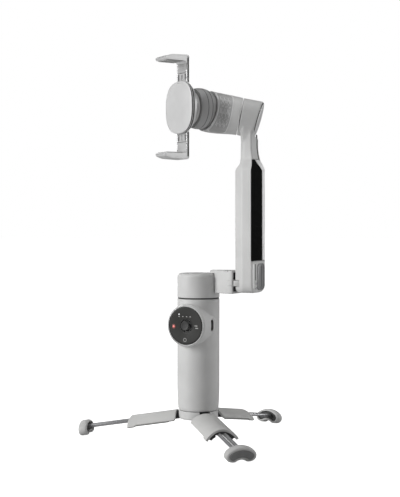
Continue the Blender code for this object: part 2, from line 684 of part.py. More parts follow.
def build_bulb(roll):
    frame = face_frame()
    tilt = joint_empty("joint_tilt", frame, roll)
    bulb = add_object("tilt_bulb", revolve(ball_profile(BULB_R, -BULB_R, DISC_BACK - GAP, 12), FINE), "bulb", tilt)
    cavity = rod_profile(11.0 * MM, -9.5 * MM, 12 * MM)
    combine(bulb, "DIFFERENCE", revolve(cavity))
    motor = moved(revolve(rod_profile(6.4 * MM, -8.2 * MM, 8.2 * MM, 0.6 * MM)),
                  Matrix.Translation((0, 0, -2.6 * MM)) @ Matrix.Rotation(math.pi / 2, 4, "Y"))
    add_object("tilt_motor", motor, "copper", tilt)
    disc = [(0, DISC_BACK), (13.4 * MM, DISC_BACK), (14.0 * MM, DISC_BACK + 0.5 * MM), (14.0 * MM, DISC_FRONT - 0.4 * MM),
            (13.6 * MM, DISC_FRONT), (9.2 * MM, DISC_FRONT), (9.2 * MM, DISC_FRONT - 1.8 * MM),
            (0, DISC_FRONT - 1.8 * MM)]
    add_object("mount_disc", revolve(disc, FINE), "body", tilt)
    magnet = rod_profile(8.9 * MM, DISC_FRONT - 1.5 * MM, DISC_FRONT - 0.1 * MM, 0.2 * MM)
    add_object("mount_magnet", revolve(magnet), "steel", tilt)
    return tilt


# ---------------------------------------------------------------- clamp

def plate_outline(inset, steps=36):
    """A rounded square that is nearly a circle."""
    points = []
    for i in range(steps):
        turn = 2 * math.pi * (i + 0.5) / steps
        x, y = math.cos(turn), math.sin(turn)
        points.append((math.copysign(abs(x) ** (2 / PLATE_POWER), x) * (PLATE_HALF_X - inset),
                       math.copysign(abs(y) ** (2 / PLATE_POWER), y) * (PLATE_HALF_Y - inset)))
    return points


def build_clamp(tilt):
    frame = face_frame()
    clamp = joint_empty("joint_clamp", frame, tilt)
    back = [(0, BASE_BACK + 1.8 * MM), (9.2 * MM, BASE_BACK + 1.8 * MM), (9.2 * MM, BASE_BACK),
            (14.2 * MM, BASE_BACK), (15.0 * MM, BASE_BACK + 0.8 * MM), (15.4 * MM, 12.2 * MM),
            (19.2 * MM, 12.6 * MM), (20.2 * MM, 13.6 * MM), (20.2 * MM, BASE_FRONT), (0, BASE_FRONT)]
    base = add_object("clamp_base", revolve(back, FINE), "silver", clamp)
    channel = box((-STRAP_HALF - GAP, -30 * MM, STRAP_BACK - GAP), (STRAP_HALF + GAP, 30 * MM, 20 * MM))
    combine(base, "DIFFERENCE", channel)
    magnet = rod_profile(8.9 * MM, BASE_BACK + 0.1 * MM, BASE_BACK + 1.5 * MM, 0.2 * MM)
    add_object("clamp_magnet", revolve(magnet), "steel", clamp)
    edge = 0.6 * MM
    levels = ((PLATE_BACK, edge), (PLATE_BACK + edge, 0), (PLATE_FRONT - edge, 0), (PLATE_FRONT, edge))
    plate = loft([[(x, y, z) for x, y in plate_outline(inset)] for z, inset in levels])
    add_object("clamp_plate", plate, "body", clamp)
    build_jaws(clamp)


def jaw_strap():
    """The flat strap of one jaw, with the narrow rack that passes the pinion."""
    top = JAW_REST + 4.6 * MM
    outline = [(-STRAP_HALF, 19 * MM), (3.1 * MM, 19 * MM), (3.1 * MM, -6 * MM), (7.6 * MM, -6 * MM),
               (7.6 * MM, 19 * MM), (STRAP_HALF, 19.4 * MM), (STRAP_HALF, top), (-STRAP_HALF, top)]
    return prism(outline, STRAP_BACK, STRAP_FRONT)


def jaw_hook():
    """The hook that holds one long edge of the phone."""
    side = [(STRAP_BACK, JAW_REST - 1.5 * MM), (STRAP_FRONT, JAW_REST - 1.5 * MM), (STRAP_FRONT + 1.2 * MM, JAW_REST),
            (HOOK_TIP - 1.2 * MM, JAW_REST), (HOOK_TIP, JAW_REST + 0.8 * MM), (HOOK_TIP - 0.4 * MM, JAW_REST + 2.6 * MM),
            (HOOK_TIP - 5.6 * MM, JAW_REST + 4.6 * MM), (STRAP_BACK + 1.4 * MM, JAW_REST + 5.2 * MM),
            (STRAP_BACK, JAW_REST + 4.2 * MM)]
    return loft([[(x, y, z) for z, y in side] for x in (-STRAP_HALF, STRAP_HALF)])


def build_jaws(clamp):
    frame = face_frame()
    half_turn = Matrix.Rotation(math.pi, 4, "Z")
    for name, turn in (("upper", Matrix.Identity(4)), ("lower", half_turn)):
        place = frame @ turn
        slide = joint_empty("joint_jaw_" + name, place, clamp)
        jaw = add_object("jaw_" + name, jaw_strap(), "silver", slide)
        combine(jaw, "UNION", jaw_hook())
        slot = box((-4.6 * MM, 23.6 * MM, 10 * MM), (4.6 * MM, 25.2 * MM, 20 * MM))
        combine(jaw, "DIFFERENCE", slot)
        pad = box((-6.8 * MM, JAW_REST - 1.0 * MM, 19.4 * MM), (6.8 * MM, JAW_REST - GAP, 35.2 * MM), 0.3 * MM, 1)
        add_object("jaw_pad_" + name, pad, "grip", slide)
    spin = joint_empty("joint_pinion", frame, clamp)
    add_object("clamp_pinion", pinion(2.0 * MM, 2.6 * MM, 10), "steel", spin)


def pinion(root_r, tip_r, teeth):
    outline = []
    for i in range(teeth):
        for part, radius in ((0.0, root_r), (0.3, root_r), (0.45, tip_r), (0.75, tip_r)):
            turn = 2 * math.pi * (i + part) / teeth
            outline.append((radius * math.cos(turn), radius * math.sin(turn)))
    return prism(outline, STRAP_BACK + 0.1 * MM, STRAP_FRONT - 0.2 * MM)


# ---------------------------------------------------------------- tripod

def build_rod_stages(root):
    parent = root
    for number, radius in enumerate(STAGE_RADII, 1):
        inner = radius - STAGE_WALL
        top = STAGE_TOP - 1.5 * MM * (number - 1)
        low = HANDLE_Z0 + 0.3 * MM
        slide = joint_empty("joint_rod_%d" % number, Matrix.Translation((0, 0, low)), parent)
        tube = ring_profile(inner, radius, 0, top - low)
        add_object("rod_stage_%d" % number, revolve(tube), "chrome", slide)
        parent = slide
    return parent


def build_hub(stage):
    here = Matrix.Identity(4)
    inner = 4.2 * MM
    side = [(inner, HUB_Z0), (HUB_R - 0.8 * MM, HUB_Z0), (HUB_R, HUB_Z0 + 0.8 * MM), (HUB_R, HUB_Z1 - 0.4 * MM),
            (HUB_R - 0.4 * MM, HUB_Z1), (inner, HUB_Z1)]
    hub = add_object("base_hub", revolve(side, FINE), "silver", stage, here)
    for angle in LEG_ANGLES.values():
        turn = Matrix.Rotation(math.radians(angle), 4, "Z")
        slot = box((8.3 * MM, -4.5 * MM, 10 * MM), (30 * MM, 4.5 * MM, 30 * MM))
        pin_hole = moved(revolve(rod_profile(1.3 * MM, -8.2 * MM, 8.2 * MM), 12), pivot_turn())
        combine(hub, "DIFFERENCE", moved(slot, turn), moved(pin_hole, turn))
    insert = ring_profile(2.9 * MM, 3.9 * MM, HUB_Z0 + 0.2 * MM, HUB_Z1 - 0.2 * MM)
    add_object("thread_insert", revolve(insert, SMALL), "steel", stage, here)


def pivot_turn():
    """Takes Z to a leg's pivot axis, in the leg's own vertical plane."""
    return Matrix.Translation((LEG_PIVOT_R, 0, LEG_PIVOT_Z)) @ Matrix.Rotation(-math.pi / 2, 4, "X")


def leg_frame(angle):
    """Frame on the pivot: -Z runs down the leg and +X is its outer side."""
    spread = math.pi / 2 - LEG_SLOPE
    turn = Matrix.Rotation(math.radians(angle), 4, "Z")
    return turn @ Matrix.Translation((LEG_PIVOT_R, 0, LEG_PIVOT_Z)) @ Matrix.Rotation(-spread, 4, "Y")


def build_leg(name, angle, stage):
    frame = leg_frame(angle)
    pivot = joint_empty("joint_leg_" + name, frame, stage)
    build_leg_shell(name, pivot)
    pin = moved(revolve(rod_profile(1.0 * MM, -7.9 * MM, 7.9 * MM, 0.2 * MM), 12), Matrix.Rotation(math.pi / 2, 4, "X"))
    add_object("leg_pin_" + name, pin, "steel", stage, frame)
    slide = joint_empty("joint_foot_" + name, frame, pivot)
    build_leg_rods(name, slide)
    build_foot(name, slide)


def build_leg_shell(name, pivot):
    """Arc shell with the lug at its root and the guide block for the rods."""
    centre = Matrix.Translation((-LEG_PIVOT_R, 0, 0))
    skin = moved(sector(SHELL_R - SHELL_WALL, SHELL_R, SHELL_HALF_ANGLE, -SHELL_END, -SHELL_START, 10), centre)
    shell = add_object("leg_shell_" + name, skin, "body", pivot)
    lug_side = [(3.3 * MM * math.cos(t), 3.3 * MM * math.sin(t)) for t in
                [math.radians(a) for a in range(-0, 181, 20)]]
    outline = [(x, z) for x, z in lug_side] + [(-3.3 * MM, -9 * MM), (2.0 * MM, -9 * MM), (3.0 * MM, -6 * MM)]
    lug = loft([[(x, y, z) for x, z in outline] for y in (-4.0 * MM, 4.0 * MM)])
    guide = box((-2.6 * MM, -5.0 * MM, -GUIDE_END), (2.6 * MM, 5.0 * MM, -7.9 * MM))
    tabs = [moved(sector(SHELL_R - SHELL_WALL + 0.2 * MM, SHELL_R - 0.2 * MM, math.radians(6),
                         -SHELL_END + 0.2 * MM, -SHELL_END + 6 * MM, 3),
                  centre @ Matrix.Rotation(side * math.radians(53), 4, "Z")) for side in (-1, 1)]
    combine(shell, "UNION", lug, guide, *tabs)
    holes = []
    for side in (-1, 1):
        hole = moved(revolve(rod_profile(ROD_R + GAP, -SHELL_END - 10 * MM, -9.2 * MM), 12),
                     Matrix.Translation((0, side * ROD_OFFSET, 0)))
        holes.append(hole)
    pin_hole = moved(revolve(rod_profile(1.3 * MM, -9 * MM, 9 * MM), 12), Matrix.Rotation(math.pi / 2, 4, "X"))
    combine(shell, "DIFFERENCE", *holes, pin_hole)


def build_leg_rods(name, slide):
    inner_end = -GUIDE_END + 6.7 * MM
    outer_end = -FOOT_END + 2.2 * MM
    rods = None
    for side in (-1, 1):
        rod = moved(revolve(rod_profile(ROD_R, outer_end, inner_end, 0.2 * MM), 12),
                    Matrix.Translation((0, side * ROD_OFFSET, 0)))
        if rods is None:
            rods = add_object("leg_rods_" + name, rod, "chrome", slide)
        else:
            combine(rods, "UNION", rod, box((-1.1 * MM, -ROD_OFFSET, outer_end + 0.4 * MM),
                                            (1.1 * MM, ROD_OFFSET, outer_end + 2.0 * MM)))


def foot_outline(inset, steps=20):
    """A kidney shape with rounded ends, inset by an even margin."""
    middle = (FOOT_R + FOOT_INNER_R) / 2
    half = (FOOT_R - FOOT_INNER_R) / 2 - inset
    reach = FOOT_HALF_ANGLE * middle - inset
    outer, inner = [], []
    for i in range(steps + 1):
        s = -reach * math.cos(math.pi * i / steps)
        past = max(0.0, 1 - (reach - abs(s)) / half)
        width = half * math.sqrt(max(0.0, 1 - past * past))
        turn = s / middle
        outer.append(((middle + width) * math.cos(turn) - LEG_PIVOT_R, (middle + width) * math.sin(turn)))
        inner.append(((middle - width) * math.cos(turn) - LEG_PIVOT_R, (middle - width) * math.sin(turn)))
    return outer + inner[-2:0:-1]


def build_foot(name, slide):
    """Curved foot with a softer pad on its outer end."""
    ease = 1.1 * MM
    levels = ((-FOOT_END, ease), (-FOOT_END + ease, 0), (-FOOT_START - ease, 0), (-FOOT_START, ease))
    core = loft([[(x, y, z) for x, y in foot_outline(inset)] for z, inset in levels])
    foot = add_object("foot_" + name, core, "body", slide)
    socket = box((-ROD_R - GAP, -ROD_OFFSET - ROD_R - GAP, -FOOT_END + 1.9 * MM),
                 (ROD_R + GAP, ROD_OFFSET + ROD_R + GAP, -FOOT_START + 2 * MM))
    seat = prism(foot_outline(2.2 * MM), -FOOT_END - 2 * MM, -FOOT_END + 1.2 * MM)
    hollow = prism(foot_outline(1.9 * MM), -FOOT_START - 2.5 * MM, -FOOT_START + 2 * MM)
    combine(foot, "DIFFERENCE", socket, seat, hollow)
    add_object("foot_pad_" + name, prism(foot_outline(2.5 * MM), -FOOT_END - 0.5 * MM, -FOOT_END + 0.9 * MM),
               "rubber", slide)


def sharp_edges(bm):
    found = []
    for edge in bm.edges:
        if len(edge.link_faces) == 2 and edge.calc_face_angle(0) > math.radians(35):
            found.append(edge)
    return found


def main():
    clear_scene()
    root = joint_empty("handle_root", Matrix.Identity(4))
    build_handle(root)
    build_inner_parts(root)
    build_panel(root)
    build_trigger(root)
    pan = build_pan(root)
    build_pan_arm(pan)
    fold = build_arm(pan)
    build_roll_motor(fold)
    roll = build_barrel(fold)
    tilt = build_bulb(roll)
    build_clamp(tilt)
    stage = build_rod_stages(root)
    build_hub(stage)
    for name, angle in LEG_ANGLES.items():
        build_leg(name, angle, stage)
    root.location = FRAME_SHIFT


main()
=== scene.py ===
"""Visual model of a folding phone stabilizer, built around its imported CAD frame.

Meshes are drawn in millimetres, in the handle's own frame: the handle stands
on the Z axis with the ground at Z = 0, the control panel faces -Y and the pan
arm points along +X.  piece() scales and moves each one into the frame.
"""

import math

import bmesh
import bpy
from mathutils import Matrix, Vector


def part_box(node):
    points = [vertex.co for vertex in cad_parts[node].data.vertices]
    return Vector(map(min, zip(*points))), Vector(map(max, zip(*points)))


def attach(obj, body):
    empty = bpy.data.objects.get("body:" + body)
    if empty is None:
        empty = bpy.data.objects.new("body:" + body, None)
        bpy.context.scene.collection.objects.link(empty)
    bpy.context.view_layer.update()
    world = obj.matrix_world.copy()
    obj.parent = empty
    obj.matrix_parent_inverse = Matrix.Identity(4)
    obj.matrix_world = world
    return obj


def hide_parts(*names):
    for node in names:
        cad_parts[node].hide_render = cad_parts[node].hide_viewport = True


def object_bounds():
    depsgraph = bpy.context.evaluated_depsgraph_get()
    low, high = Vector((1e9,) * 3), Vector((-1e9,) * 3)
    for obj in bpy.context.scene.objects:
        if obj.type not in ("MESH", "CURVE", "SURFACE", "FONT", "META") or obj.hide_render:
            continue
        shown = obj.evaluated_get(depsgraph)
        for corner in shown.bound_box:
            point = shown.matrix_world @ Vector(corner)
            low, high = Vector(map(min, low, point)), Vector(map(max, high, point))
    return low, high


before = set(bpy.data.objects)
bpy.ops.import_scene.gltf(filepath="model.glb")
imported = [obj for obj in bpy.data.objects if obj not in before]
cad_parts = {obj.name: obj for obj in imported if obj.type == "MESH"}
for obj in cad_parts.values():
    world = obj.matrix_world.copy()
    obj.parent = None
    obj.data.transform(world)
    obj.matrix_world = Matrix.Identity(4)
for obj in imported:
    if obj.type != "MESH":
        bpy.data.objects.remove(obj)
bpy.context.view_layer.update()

PAN_CAP_BASE = 121.3
ROUND = 128
UP = Vector((0, 0, 1))


def find_origin():
    """The point of the frame where the handle's axis meets the ground."""
    low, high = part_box("pan_magnet_ring")
    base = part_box("pan_cap")[0].z
    return Vector(((low.x + high.x) / 2, (low.y + high.y) / 2, base - PAN_CAP_BASE / 1000))


ORIGIN = find_origin()
TO_FRAME = Matrix.Translation(ORIGIN) @ Matrix.Scale(0.001, 4)


# ---------------------------------------------------------------- materials

def new_material(name):
    made = bpy.data.materials.new(name)
    made.use_nodes = True
    tree = made.node_tree
    tree.nodes.clear()
    out = tree.nodes.new("ShaderNodeOutputMaterial")
    shader = tree.nodes.new("ShaderNodeBsdfPrincipled")
    tree.links.new(shader.outputs[0], out.inputs[0])
    return made, tree, shader


def noise(tree, scale, detail=2.0, stretch=(1, 1, 1)):
    """A noise value in the piece's own coordinates; scale is in features per metre."""
    place = tree.nodes.new("ShaderNodeTexCoord")
    shape = tree.nodes.new("ShaderNodeMapping")
    shape.inputs["Scale"].default_value = stretch
    made = tree.nodes.new("ShaderNodeTexNoise")
    made.inputs["Scale"].default_value = scale
    made.inputs["Detail"].default_value = detail
    tree.links.new(place.outputs["Object"], shape.inputs["Vector"])
    tree.links.new(shape.outputs[0], made.inputs["Vector"])
    return made.outputs["Fac"]


def spread(tree, value, low, high, start=0.3, end=0.7):
    """Rescale a value from start..end to low..high."""
    node = tree.nodes.new("ShaderNodeMapRange")
    for index, number in enumerate((start, end, low, high), 1):
        node.inputs[index].default_value = number
    tree.links.new(value, node.inputs[0])
    return node.outputs[0]


def mix(tree, factor, first, second):
    """Mix two colours; each is a tuple or a socket."""
    node = tree.nodes.new("ShaderNodeMix")
    node.data_type = "RGBA"
    tree.links.new(factor, node.inputs[0])
    for socket, value in ((node.inputs[6], first), (node.inputs[7], second)):
        if isinstance(value, tuple):
            socket.default_value = (*value, 1.0)
        else:
            tree.links.new(value, socket)
    return node.outputs[2]


def shade(colour, amount):
    return tuple(min(1.0, channel * amount) for channel in colour)


def coat(tree, shader, colour, rough):
    """Link the colour and the roughness to the shader."""
    tree.links.new(colour, shader.inputs["Base Color"])
    tree.links.new(rough, shader.inputs["Roughness"])


def bump(tree, shader, height, strength, distance):
    node = tree.nodes.new("ShaderNodeBump")
    node.inputs["Strength"].default_value = strength
    node.inputs["Distance"].default_value = distance
    tree.links.new(height, node.inputs["Height"])
    tree.links.new(node.outputs[0], shader.inputs["Normal"])


def edges(tree, low=0.52, high=0.58):
    """Raised where the surface turns over an edge."""
    node = tree.nodes.new("ShaderNodeNewGeometry")
    return spread(tree, node.outputs["Pointiness"], 0.0, 1.0, low, high)


def moulded(name, colour, rough=0.5, grain=2600, depth=0.00002, patchy=0.05, wear=0.25, specular=0.5):
    """Satin moulded plastic or paint: fine grain, faint mottling, rubbed edges."""
    made, tree, shader = new_material(name)
    broad = noise(tree, 45, 3)
    fine = noise(tree, grain, 2)
    base = mix(tree, spread(tree, broad, 0, 1), shade(colour, 1 - patchy), shade(colour, 1 + patchy))
    speck = mix(tree, spread(tree, fine, 0, 0.10, 0.35, 0.75), base, shade(colour, 0.72))
    rub = tree.nodes.new("ShaderNodeMath")
    rub.operation = "MULTIPLY"
    tree.links.new(edges(tree), rub.inputs[0])
    tree.links.new(spread(tree, noise(tree, 320, 3), 0, wear, 0.42, 0.68), rub.inputs[1])
    coat(tree, shader, mix(tree, rub.outputs[0], speck, shade(colour, 1.2)),
         spread(tree, noise(tree, 160, 3), rough - 0.06, rough + 0.06))
    shader.inputs["Specular IOR Level"].default_value = specular
    bump(tree, shader, fine, 0.35, depth)
    return made


def metal(name, colour, rough=0.2, stretch=(1, 1, 1), scale=900, depth=0.00001, variation=0.06):
    """Polished or brushed metal; a stretched noise gives the brushing its direction."""
    made, tree, shader = new_material(name)
    lines = noise(tree, scale, 3, stretch)
    base = mix(tree, spread(tree, noise(tree, 120, 3), 0, 1), shade(colour, 0.92), colour)
    coat(tree, shader, mix(tree, spread(tree, lines, 0, 0.35), base, shade(colour, 0.8)),
         spread(tree, lines, max(0.03, rough - variation), rough + variation))
    shader.inputs["Metallic"].default_value = 1.0
    bump(tree, shader, lines, 0.25, depth)
    return made


def satin_metal(name, colour, rough=0.34, metallic=0.55):
    """Blasted, painted alloy with a faint sparkle."""
    made, tree, shader = new_material(name)
    fine = noise(tree, 3200, 2)
    base = mix(tree, spread(tree, noise(tree, 60, 3), 0, 1), shade(colour, 0.95), shade(colour, 1.04))
    worn = mix(tree, spread(tree, fine, 0, 0.2, 0.4, 0.7), base, shade(colour, 1.25))
    edge = tree.nodes.new("ShaderNodeMath")
    edge.operation = "MULTIPLY"
    edge.inputs[1].default_value = 0.3
    tree.links.new(edges(tree), edge.inputs[0])
    coat(tree, shader, mix(tree, edge.outputs[0], worn, shade(colour, 1.4)),
         spread(tree, fine, rough - 0.05, rough + 0.08))
    shader.inputs["Metallic"].default_value = metallic
    bump(tree, shader, fine, 0.3, 0.00001)
    return made


def gloss_black(name):
    """Polished black plastic with fine wiping marks."""
    made, tree, shader = new_material(name)
    wipes = noise(tree, 140, 5, (1, 1, 5))
    smudge = spread(tree, wipes, 0, 1, 0.45, 0.75)
    coat(tree, shader, mix(tree, smudge, (0.003, 0.003, 0.003), (0.006, 0.006, 0.006)),
         spread(tree, wipes, 0.06, 0.17))
    shader.inputs["Specular IOR Level"].default_value = 0.05
    bump(tree, shader, noise(tree, 900, 3, (1, 1, 6)), 0.05, 0.000005)
    return made


def rubber(name, colour, rough=0.8, dots=700):
    """Moulded rubber with a dimpled texture."""
    made, tree, shader = new_material(name)
    place = tree.nodes.new("ShaderNodeTexCoord")
    cells = tree.nodes.new("ShaderNodeTexVoronoi")
    cells.inputs["Scale"].default_value = dots
    tree.links.new(place.outputs["Object"], cells.inputs["Vector"])
    dust = noise(tree, 220, 4)
    coat(tree, shader, mix(tree, spread(tree, dust, 0, 0.6), shade(colour, 0.9), shade(colour, 1.2)),
         spread(tree, dust, rough - 0.08, rough + 0.08))
    bump(tree, shader, cells.outputs["Distance"], 0.4, 0.00008)
    return made


def wound(name, colour, turns=1500):
    """Enamelled wire wound in fine turns."""
    made, tree, shader = new_material(name)
    place = tree.nodes.new("ShaderNodeTexCoord")
    bands = tree.nodes.new("ShaderNodeTexWave")
    bands.bands_direction = "Z"
    bands.inputs["Scale"].default_value = turns
    bands.inputs["Distortion"].default_value = 1.2
    tree.links.new(place.outputs["Object"], bands.inputs["Vector"])
    coat(tree, shader, mix(tree, bands.outputs["Fac"], shade(colour, 0.45), colour),
         spread(tree, bands.outputs["Fac"], 0.25, 0.45, 0, 1))
    shader.inputs["Metallic"].default_value = 1.0
    bump(tree, shader, bands.outputs["Fac"], 0.6, 0.0001)
    return made


def circuit(name):
    """Solder mask with traces and pads."""
    made, tree, shader = new_material(name)
    place = tree.nodes.new("ShaderNodeTexCoord")
    grid = tree.nodes.new("ShaderNodeTexBrick")
    grid.inputs["Scale"].default_value = 220
    grid.inputs["Mortar Size"].default_value = 0.06
    grid.inputs["Color1"].default_value = (0.02, 0.13, 0.07, 1)
    grid.inputs["Color2"].default_value = (0.015, 0.10, 0.05, 1)
    grid.inputs["Mortar"].default_value = (0.05, 0.26, 0.13, 1)
    turn = tree.nodes.new("ShaderNodeMapping")
    turn.inputs["Rotation"].default_value = (math.pi / 2, 0, 0)
    tree.links.new(place.outputs["Object"], turn.inputs["Vector"])
    tree.links.new(turn.outputs[0], grid.inputs["Vector"])
    coat(tree, shader, grid.outputs["Color"], spread(tree, grid.outputs["Fac"], 0.3, 0.6, 0, 1))
    bump(tree, shader, grid.outputs["Fac"], 0.3, 0.00005)
    return made


def lamp(name, colour, strength):
    """A small status light behind frosted plastic."""
    made, tree, shader = new_material(name)
    cloud = spread(tree, noise(tree, 2500, 2), 0, 1)
    coat(tree, shader, mix(tree, cloud, shade(colour, 0.85), colour), spread(tree, cloud, 0.35, 0.5, 0, 1))
    tree.links.new(mix(tree, cloud, shade(colour, 0.9), colour), shader.inputs["Emission Color"])
    shader.inputs["Emission Strength"].default_value = strength
    return made


SHELL = (0.61, 0.61, 0.605)
MATERIAL = {
    "shell": moulded("shell", SHELL, 0.48),
    "leg": moulded("leg", (0.57, 0.57, 0.56), 0.5, wear=0.35),
    "foot": moulded("foot", (0.50, 0.50, 0.495), 0.58, grain=2000, wear=0.2),
    "sole": rubber("sole", (0.20, 0.20, 0.20), 0.75),
    "silver": satin_metal("silver", (0.72, 0.72, 0.72), 0.36, 0.7),
    "plate": satin_metal("plate", (0.56, 0.56, 0.56), 0.5, 0.15),
    "bezel": satin_metal("bezel", (0.80, 0.80, 0.80), 0.4, 0.4),
    # Painted shade: the ball's grey is the shell's grey made darker, standing in for the shade on the ball.
    "bulb": moulded("bulb", (0.42, 0.42, 0.42), 0.42, wear=0.15),
    "bulb_line": moulded("bulb_line", (0.10, 0.10, 0.10), 0.5, wear=0.1),
    "label": moulded("label", (0.47, 0.47, 0.468), 0.4, grain=3500, wear=0.0),
    "ink": moulded("ink", (0.9, 0.9, 0.9), 0.5, wear=0.0),
    "panel_ink": moulded("panel_ink", (0.40, 0.40, 0.39), 0.5, wear=0.0),
    "panel": moulded("panel", (0.022, 0.022, 0.020), 0.5, grain=3000, depth=0.00003, wear=0.1, specular=0.3),
    "stick": rubber("stick", (0.035, 0.035, 0.035), 0.6, 1500),
    "dark": moulded("dark", (0.03, 0.03, 0.03), 0.55, wear=0.1),
    # A dark finish for real liners, washers and rings, also used as painted shade on the jaw straps' side
    # faces.
    "lining_and_shade": moulded("lining_and_shade", (0.05, 0.05, 0.052), 0.6, wear=0.1),
    "black": gloss_black("black"),
    "chrome": metal("chrome", (0.86, 0.86, 0.87), 0.10, scale=500),
    "steel": metal("steel", (0.56, 0.56, 0.58), 0.26, (1, 1, 0.1)),
    "rod": satin_metal("rod", (0.40, 0.40, 0.41), 0.28, 0.7),
    "cover": satin_metal("cover", (0.20, 0.20, 0.205), 0.36, 0.5),
    "grip": rubber("grip", (0.48, 0.48, 0.475), 0.7, 900),
    "copper": wound("copper", (0.74, 0.38, 0.20)),
    "board": circuit("board"),
    "cell": moulded("cell", (0.06, 0.13, 0.26), 0.35, wear=0.0),
    "white_light": lamp("white_light", (0.9, 0.92, 0.95), 0.5),
    "red_light": lamp("red_light", (0.85, 0.22, 0.19), 0.35),
    "red_glow": lamp("red_glow", (0.16, 0.035, 0.032), 0.15),
}


# ---------------------------------------------------------------- mesh tools

def soft(points, radius, steps=4):
    """Round a closed outline's corners; a point's third number is its own radius."""
    out = []
    for i, point in enumerate(points):
        here = Vector(point[:2])
        back = Vector(points[i - 1][:2]) - here
        on = Vector(points[(i + 1) % len(points)][:2]) - here
        wanted = point[2] if len(point) > 2 else radius
        cut = min(wanted, back.length * 0.45, on.length * 0.45)
        if cut < 1e-3:
            out.append((here.x, here.y))
            continue
        start, end = here + back.normalized() * cut, here + on.normalized() * cut
        for k in range(steps + 1):
            t = k / steps
            out.append(tuple(start * (1 - t) ** 2 + here * (2 * t * (1 - t)) + end * t ** 2))
    return out


def turned(profile, radius=0.35, segments=ROUND):
    """Turn a (radius, height) outline about Z, with its corners rounded."""
    marked = [(p[0], p[1], 0) if p[0] <= 0 else p for p in profile]
    bm = bmesh.new()
    rings = []
    for r, z in soft(marked, radius):
        if r <= 1e-6:
            rings.append([bm.verts.new((0, 0, z))])
            continue
        rings.append([bm.verts.new((r * math.cos(2 * math.pi * i / segments),
                                    r * math.sin(2 * math.pi * i / segments), z)) for i in range(segments)])
    for a, b in zip(rings, rings[1:] + rings[:1]):
        bridge(bm, a, b)
    return bm


def cylinder(radius, low, high, segments=ROUND):
    return turned([(0, low), (radius, low), (radius, high), (0, high)], 0, segments)


def bridge(bm, a, b):
    count = max(len(a), len(b))
    if count == 1:
        return
    for i in range(count):
        j = (i + 1) % count
        corners = (a[i % len(a)], a[j % len(a)], b[j % len(b)], b[i % len(b)])
        bm.faces.new(list(dict.fromkeys(corners)))


def loft(sections):
    """Skin equal-length loops of points and close both ends."""
    bm = bmesh.new()
    loops = [[bm.verts.new(point) for point in section] for section in sections]
    for a, b in zip(loops, loops[1:]):
        bridge(bm, a, b)
    bm.faces.new(loops[0])
    bm.faces.new(loops[-1])
    return bm


def between(first, second):
    """Close two equal grids of points, given as rows, into one thin solid."""
    bm = bmesh.new()
    layers = [[[bm.verts.new(point) for point in row] for row in grid] for grid in (first, second)]
    rows, columns = len(first) - 1, len(first[0]) - 1
    for layer in layers:
        for j in range(rows):
            for i in range(columns):
                bm.faces.new((layer[j][i], layer[j][i + 1], layer[j + 1][i + 1], layer[j + 1][i]))
    low, high = layers
    loop = [(0, i) for i in range(columns)] + [(j, columns) for j in range(rows)]
    loop += [(rows, i) for i in range(columns, 0, -1)] + [(j, 0) for j in range(rows, 0, -1)]
    for (j, i), (q, p) in zip(loop, loop[1:] + loop[:1]):
        bm.faces.new((low[j][i], low[q][p], high[q][p], high[j][i]))
    return bm


def prism(outline, low, high):
    return loft([[(x, y, z) for x, y in outline] for z in (low, high)])


def rounded(half_x, half_y, radius, steps=8):
    """A rounded rectangle about the origin."""
    corners = ((1, 1), (-1, 1), (-1, -1), (1, -1))
    return [(sx * (half_x - radius) + radius * math.cos(math.pi / 2 * (k + i / steps)),
             sy * (half_y - radius) + radius * math.sin(math.pi / 2 * (k + i / steps)))
            for k, (sx, sy) in enumerate(corners) for i in range(steps + 1)]


def box(low, high, edge=0.0, segments=3):
    bm = bmesh.new()
    size = [b - a for a, b in zip(low, high)]
    middle = [(a + b) / 2 for a, b in zip(low, high)]
    bmesh.ops.create_cube(bm, size=1.0, matrix=Matrix.Translation(middle) @ Matrix.Diagonal((*size, 1.0)))
    if edge > 0:
        bmesh.ops.bevel(bm, geom=bm.edges[:], offset=edge, segments=segments, profile=0.5, affect="EDGES")
    return bm


def eased(bm, width, segments=3, angle=35):
    """Round the sharp edges of a mesh."""
    bmesh.ops.recalc_face_normals(bm, faces=bm.faces)
    sharp = [e for e in bm.edges if len(e.link_faces) == 2 and e.calc_face_angle(0) > math.radians(angle)]
    bmesh.ops.bevel(bm, geom=sharp, offset=width, segments=segments, profile=0.5, affect="EDGES",
                    clamp_overlap=True)
    return bm


def moved(bm, matrix):
    bmesh.ops.transform(bm, matrix=matrix, verts=bm.verts)
    return bm


def shift(x, y, z):
    return Matrix.Translation((x, y, z))


def spin(degrees, axis="Z"):
    return Matrix.Rotation(math.radians(degrees), 4, axis)


def sector(inner, outer, half_angle, low, high, steps=40):
    """An arc-shaped bar about Z, centred on +X; angles in degrees."""
    turns = [math.radians(half_angle) * (2 * i / steps - 1) for i in range(steps + 1)]
    outline = [(outer * math.cos(t), outer * math.sin(t)) for t in turns]
    outline += [(inner * math.cos(t), inner * math.sin(t)) for t in reversed(turns)]
    return prism(outline, low, high)


def merged(*parts):
    """Put several meshes into the first one."""
    first = parts[0]
    for other in parts[1:]:
        mesh = bpy.data.meshes.new("merge")
        bmesh.ops.recalc_face_normals(other, faces=other.faces)
        other.to_mesh(mesh)
        other.free()
        first.from_mesh(mesh)
        bpy.data.meshes.remove(mesh)
    return first


def with_modifiers(bm, add):
    """Run modifiers on a mesh and give the result."""
    bmesh.ops.recalc_face_normals(bm, faces=bm.faces)
    mesh = bpy.data.meshes.new("work")
    bm.to_mesh(mesh)
    bm.free()
    item = bpy.data.objects.new("work", mesh)
    bpy.context.scene.collection.objects.link(item)
    add(item)
    bpy.context.view_layer.update()
    done = bpy.data.meshes.new_from_object(item.evaluated_get(bpy.context.evaluated_depsgraph_get()))
    bpy.data.objects.remove(item, do_unlink=True)
    result = bmesh.new()
    result.from_mesh(done)
    bpy.data.meshes.remove(done)
    return result


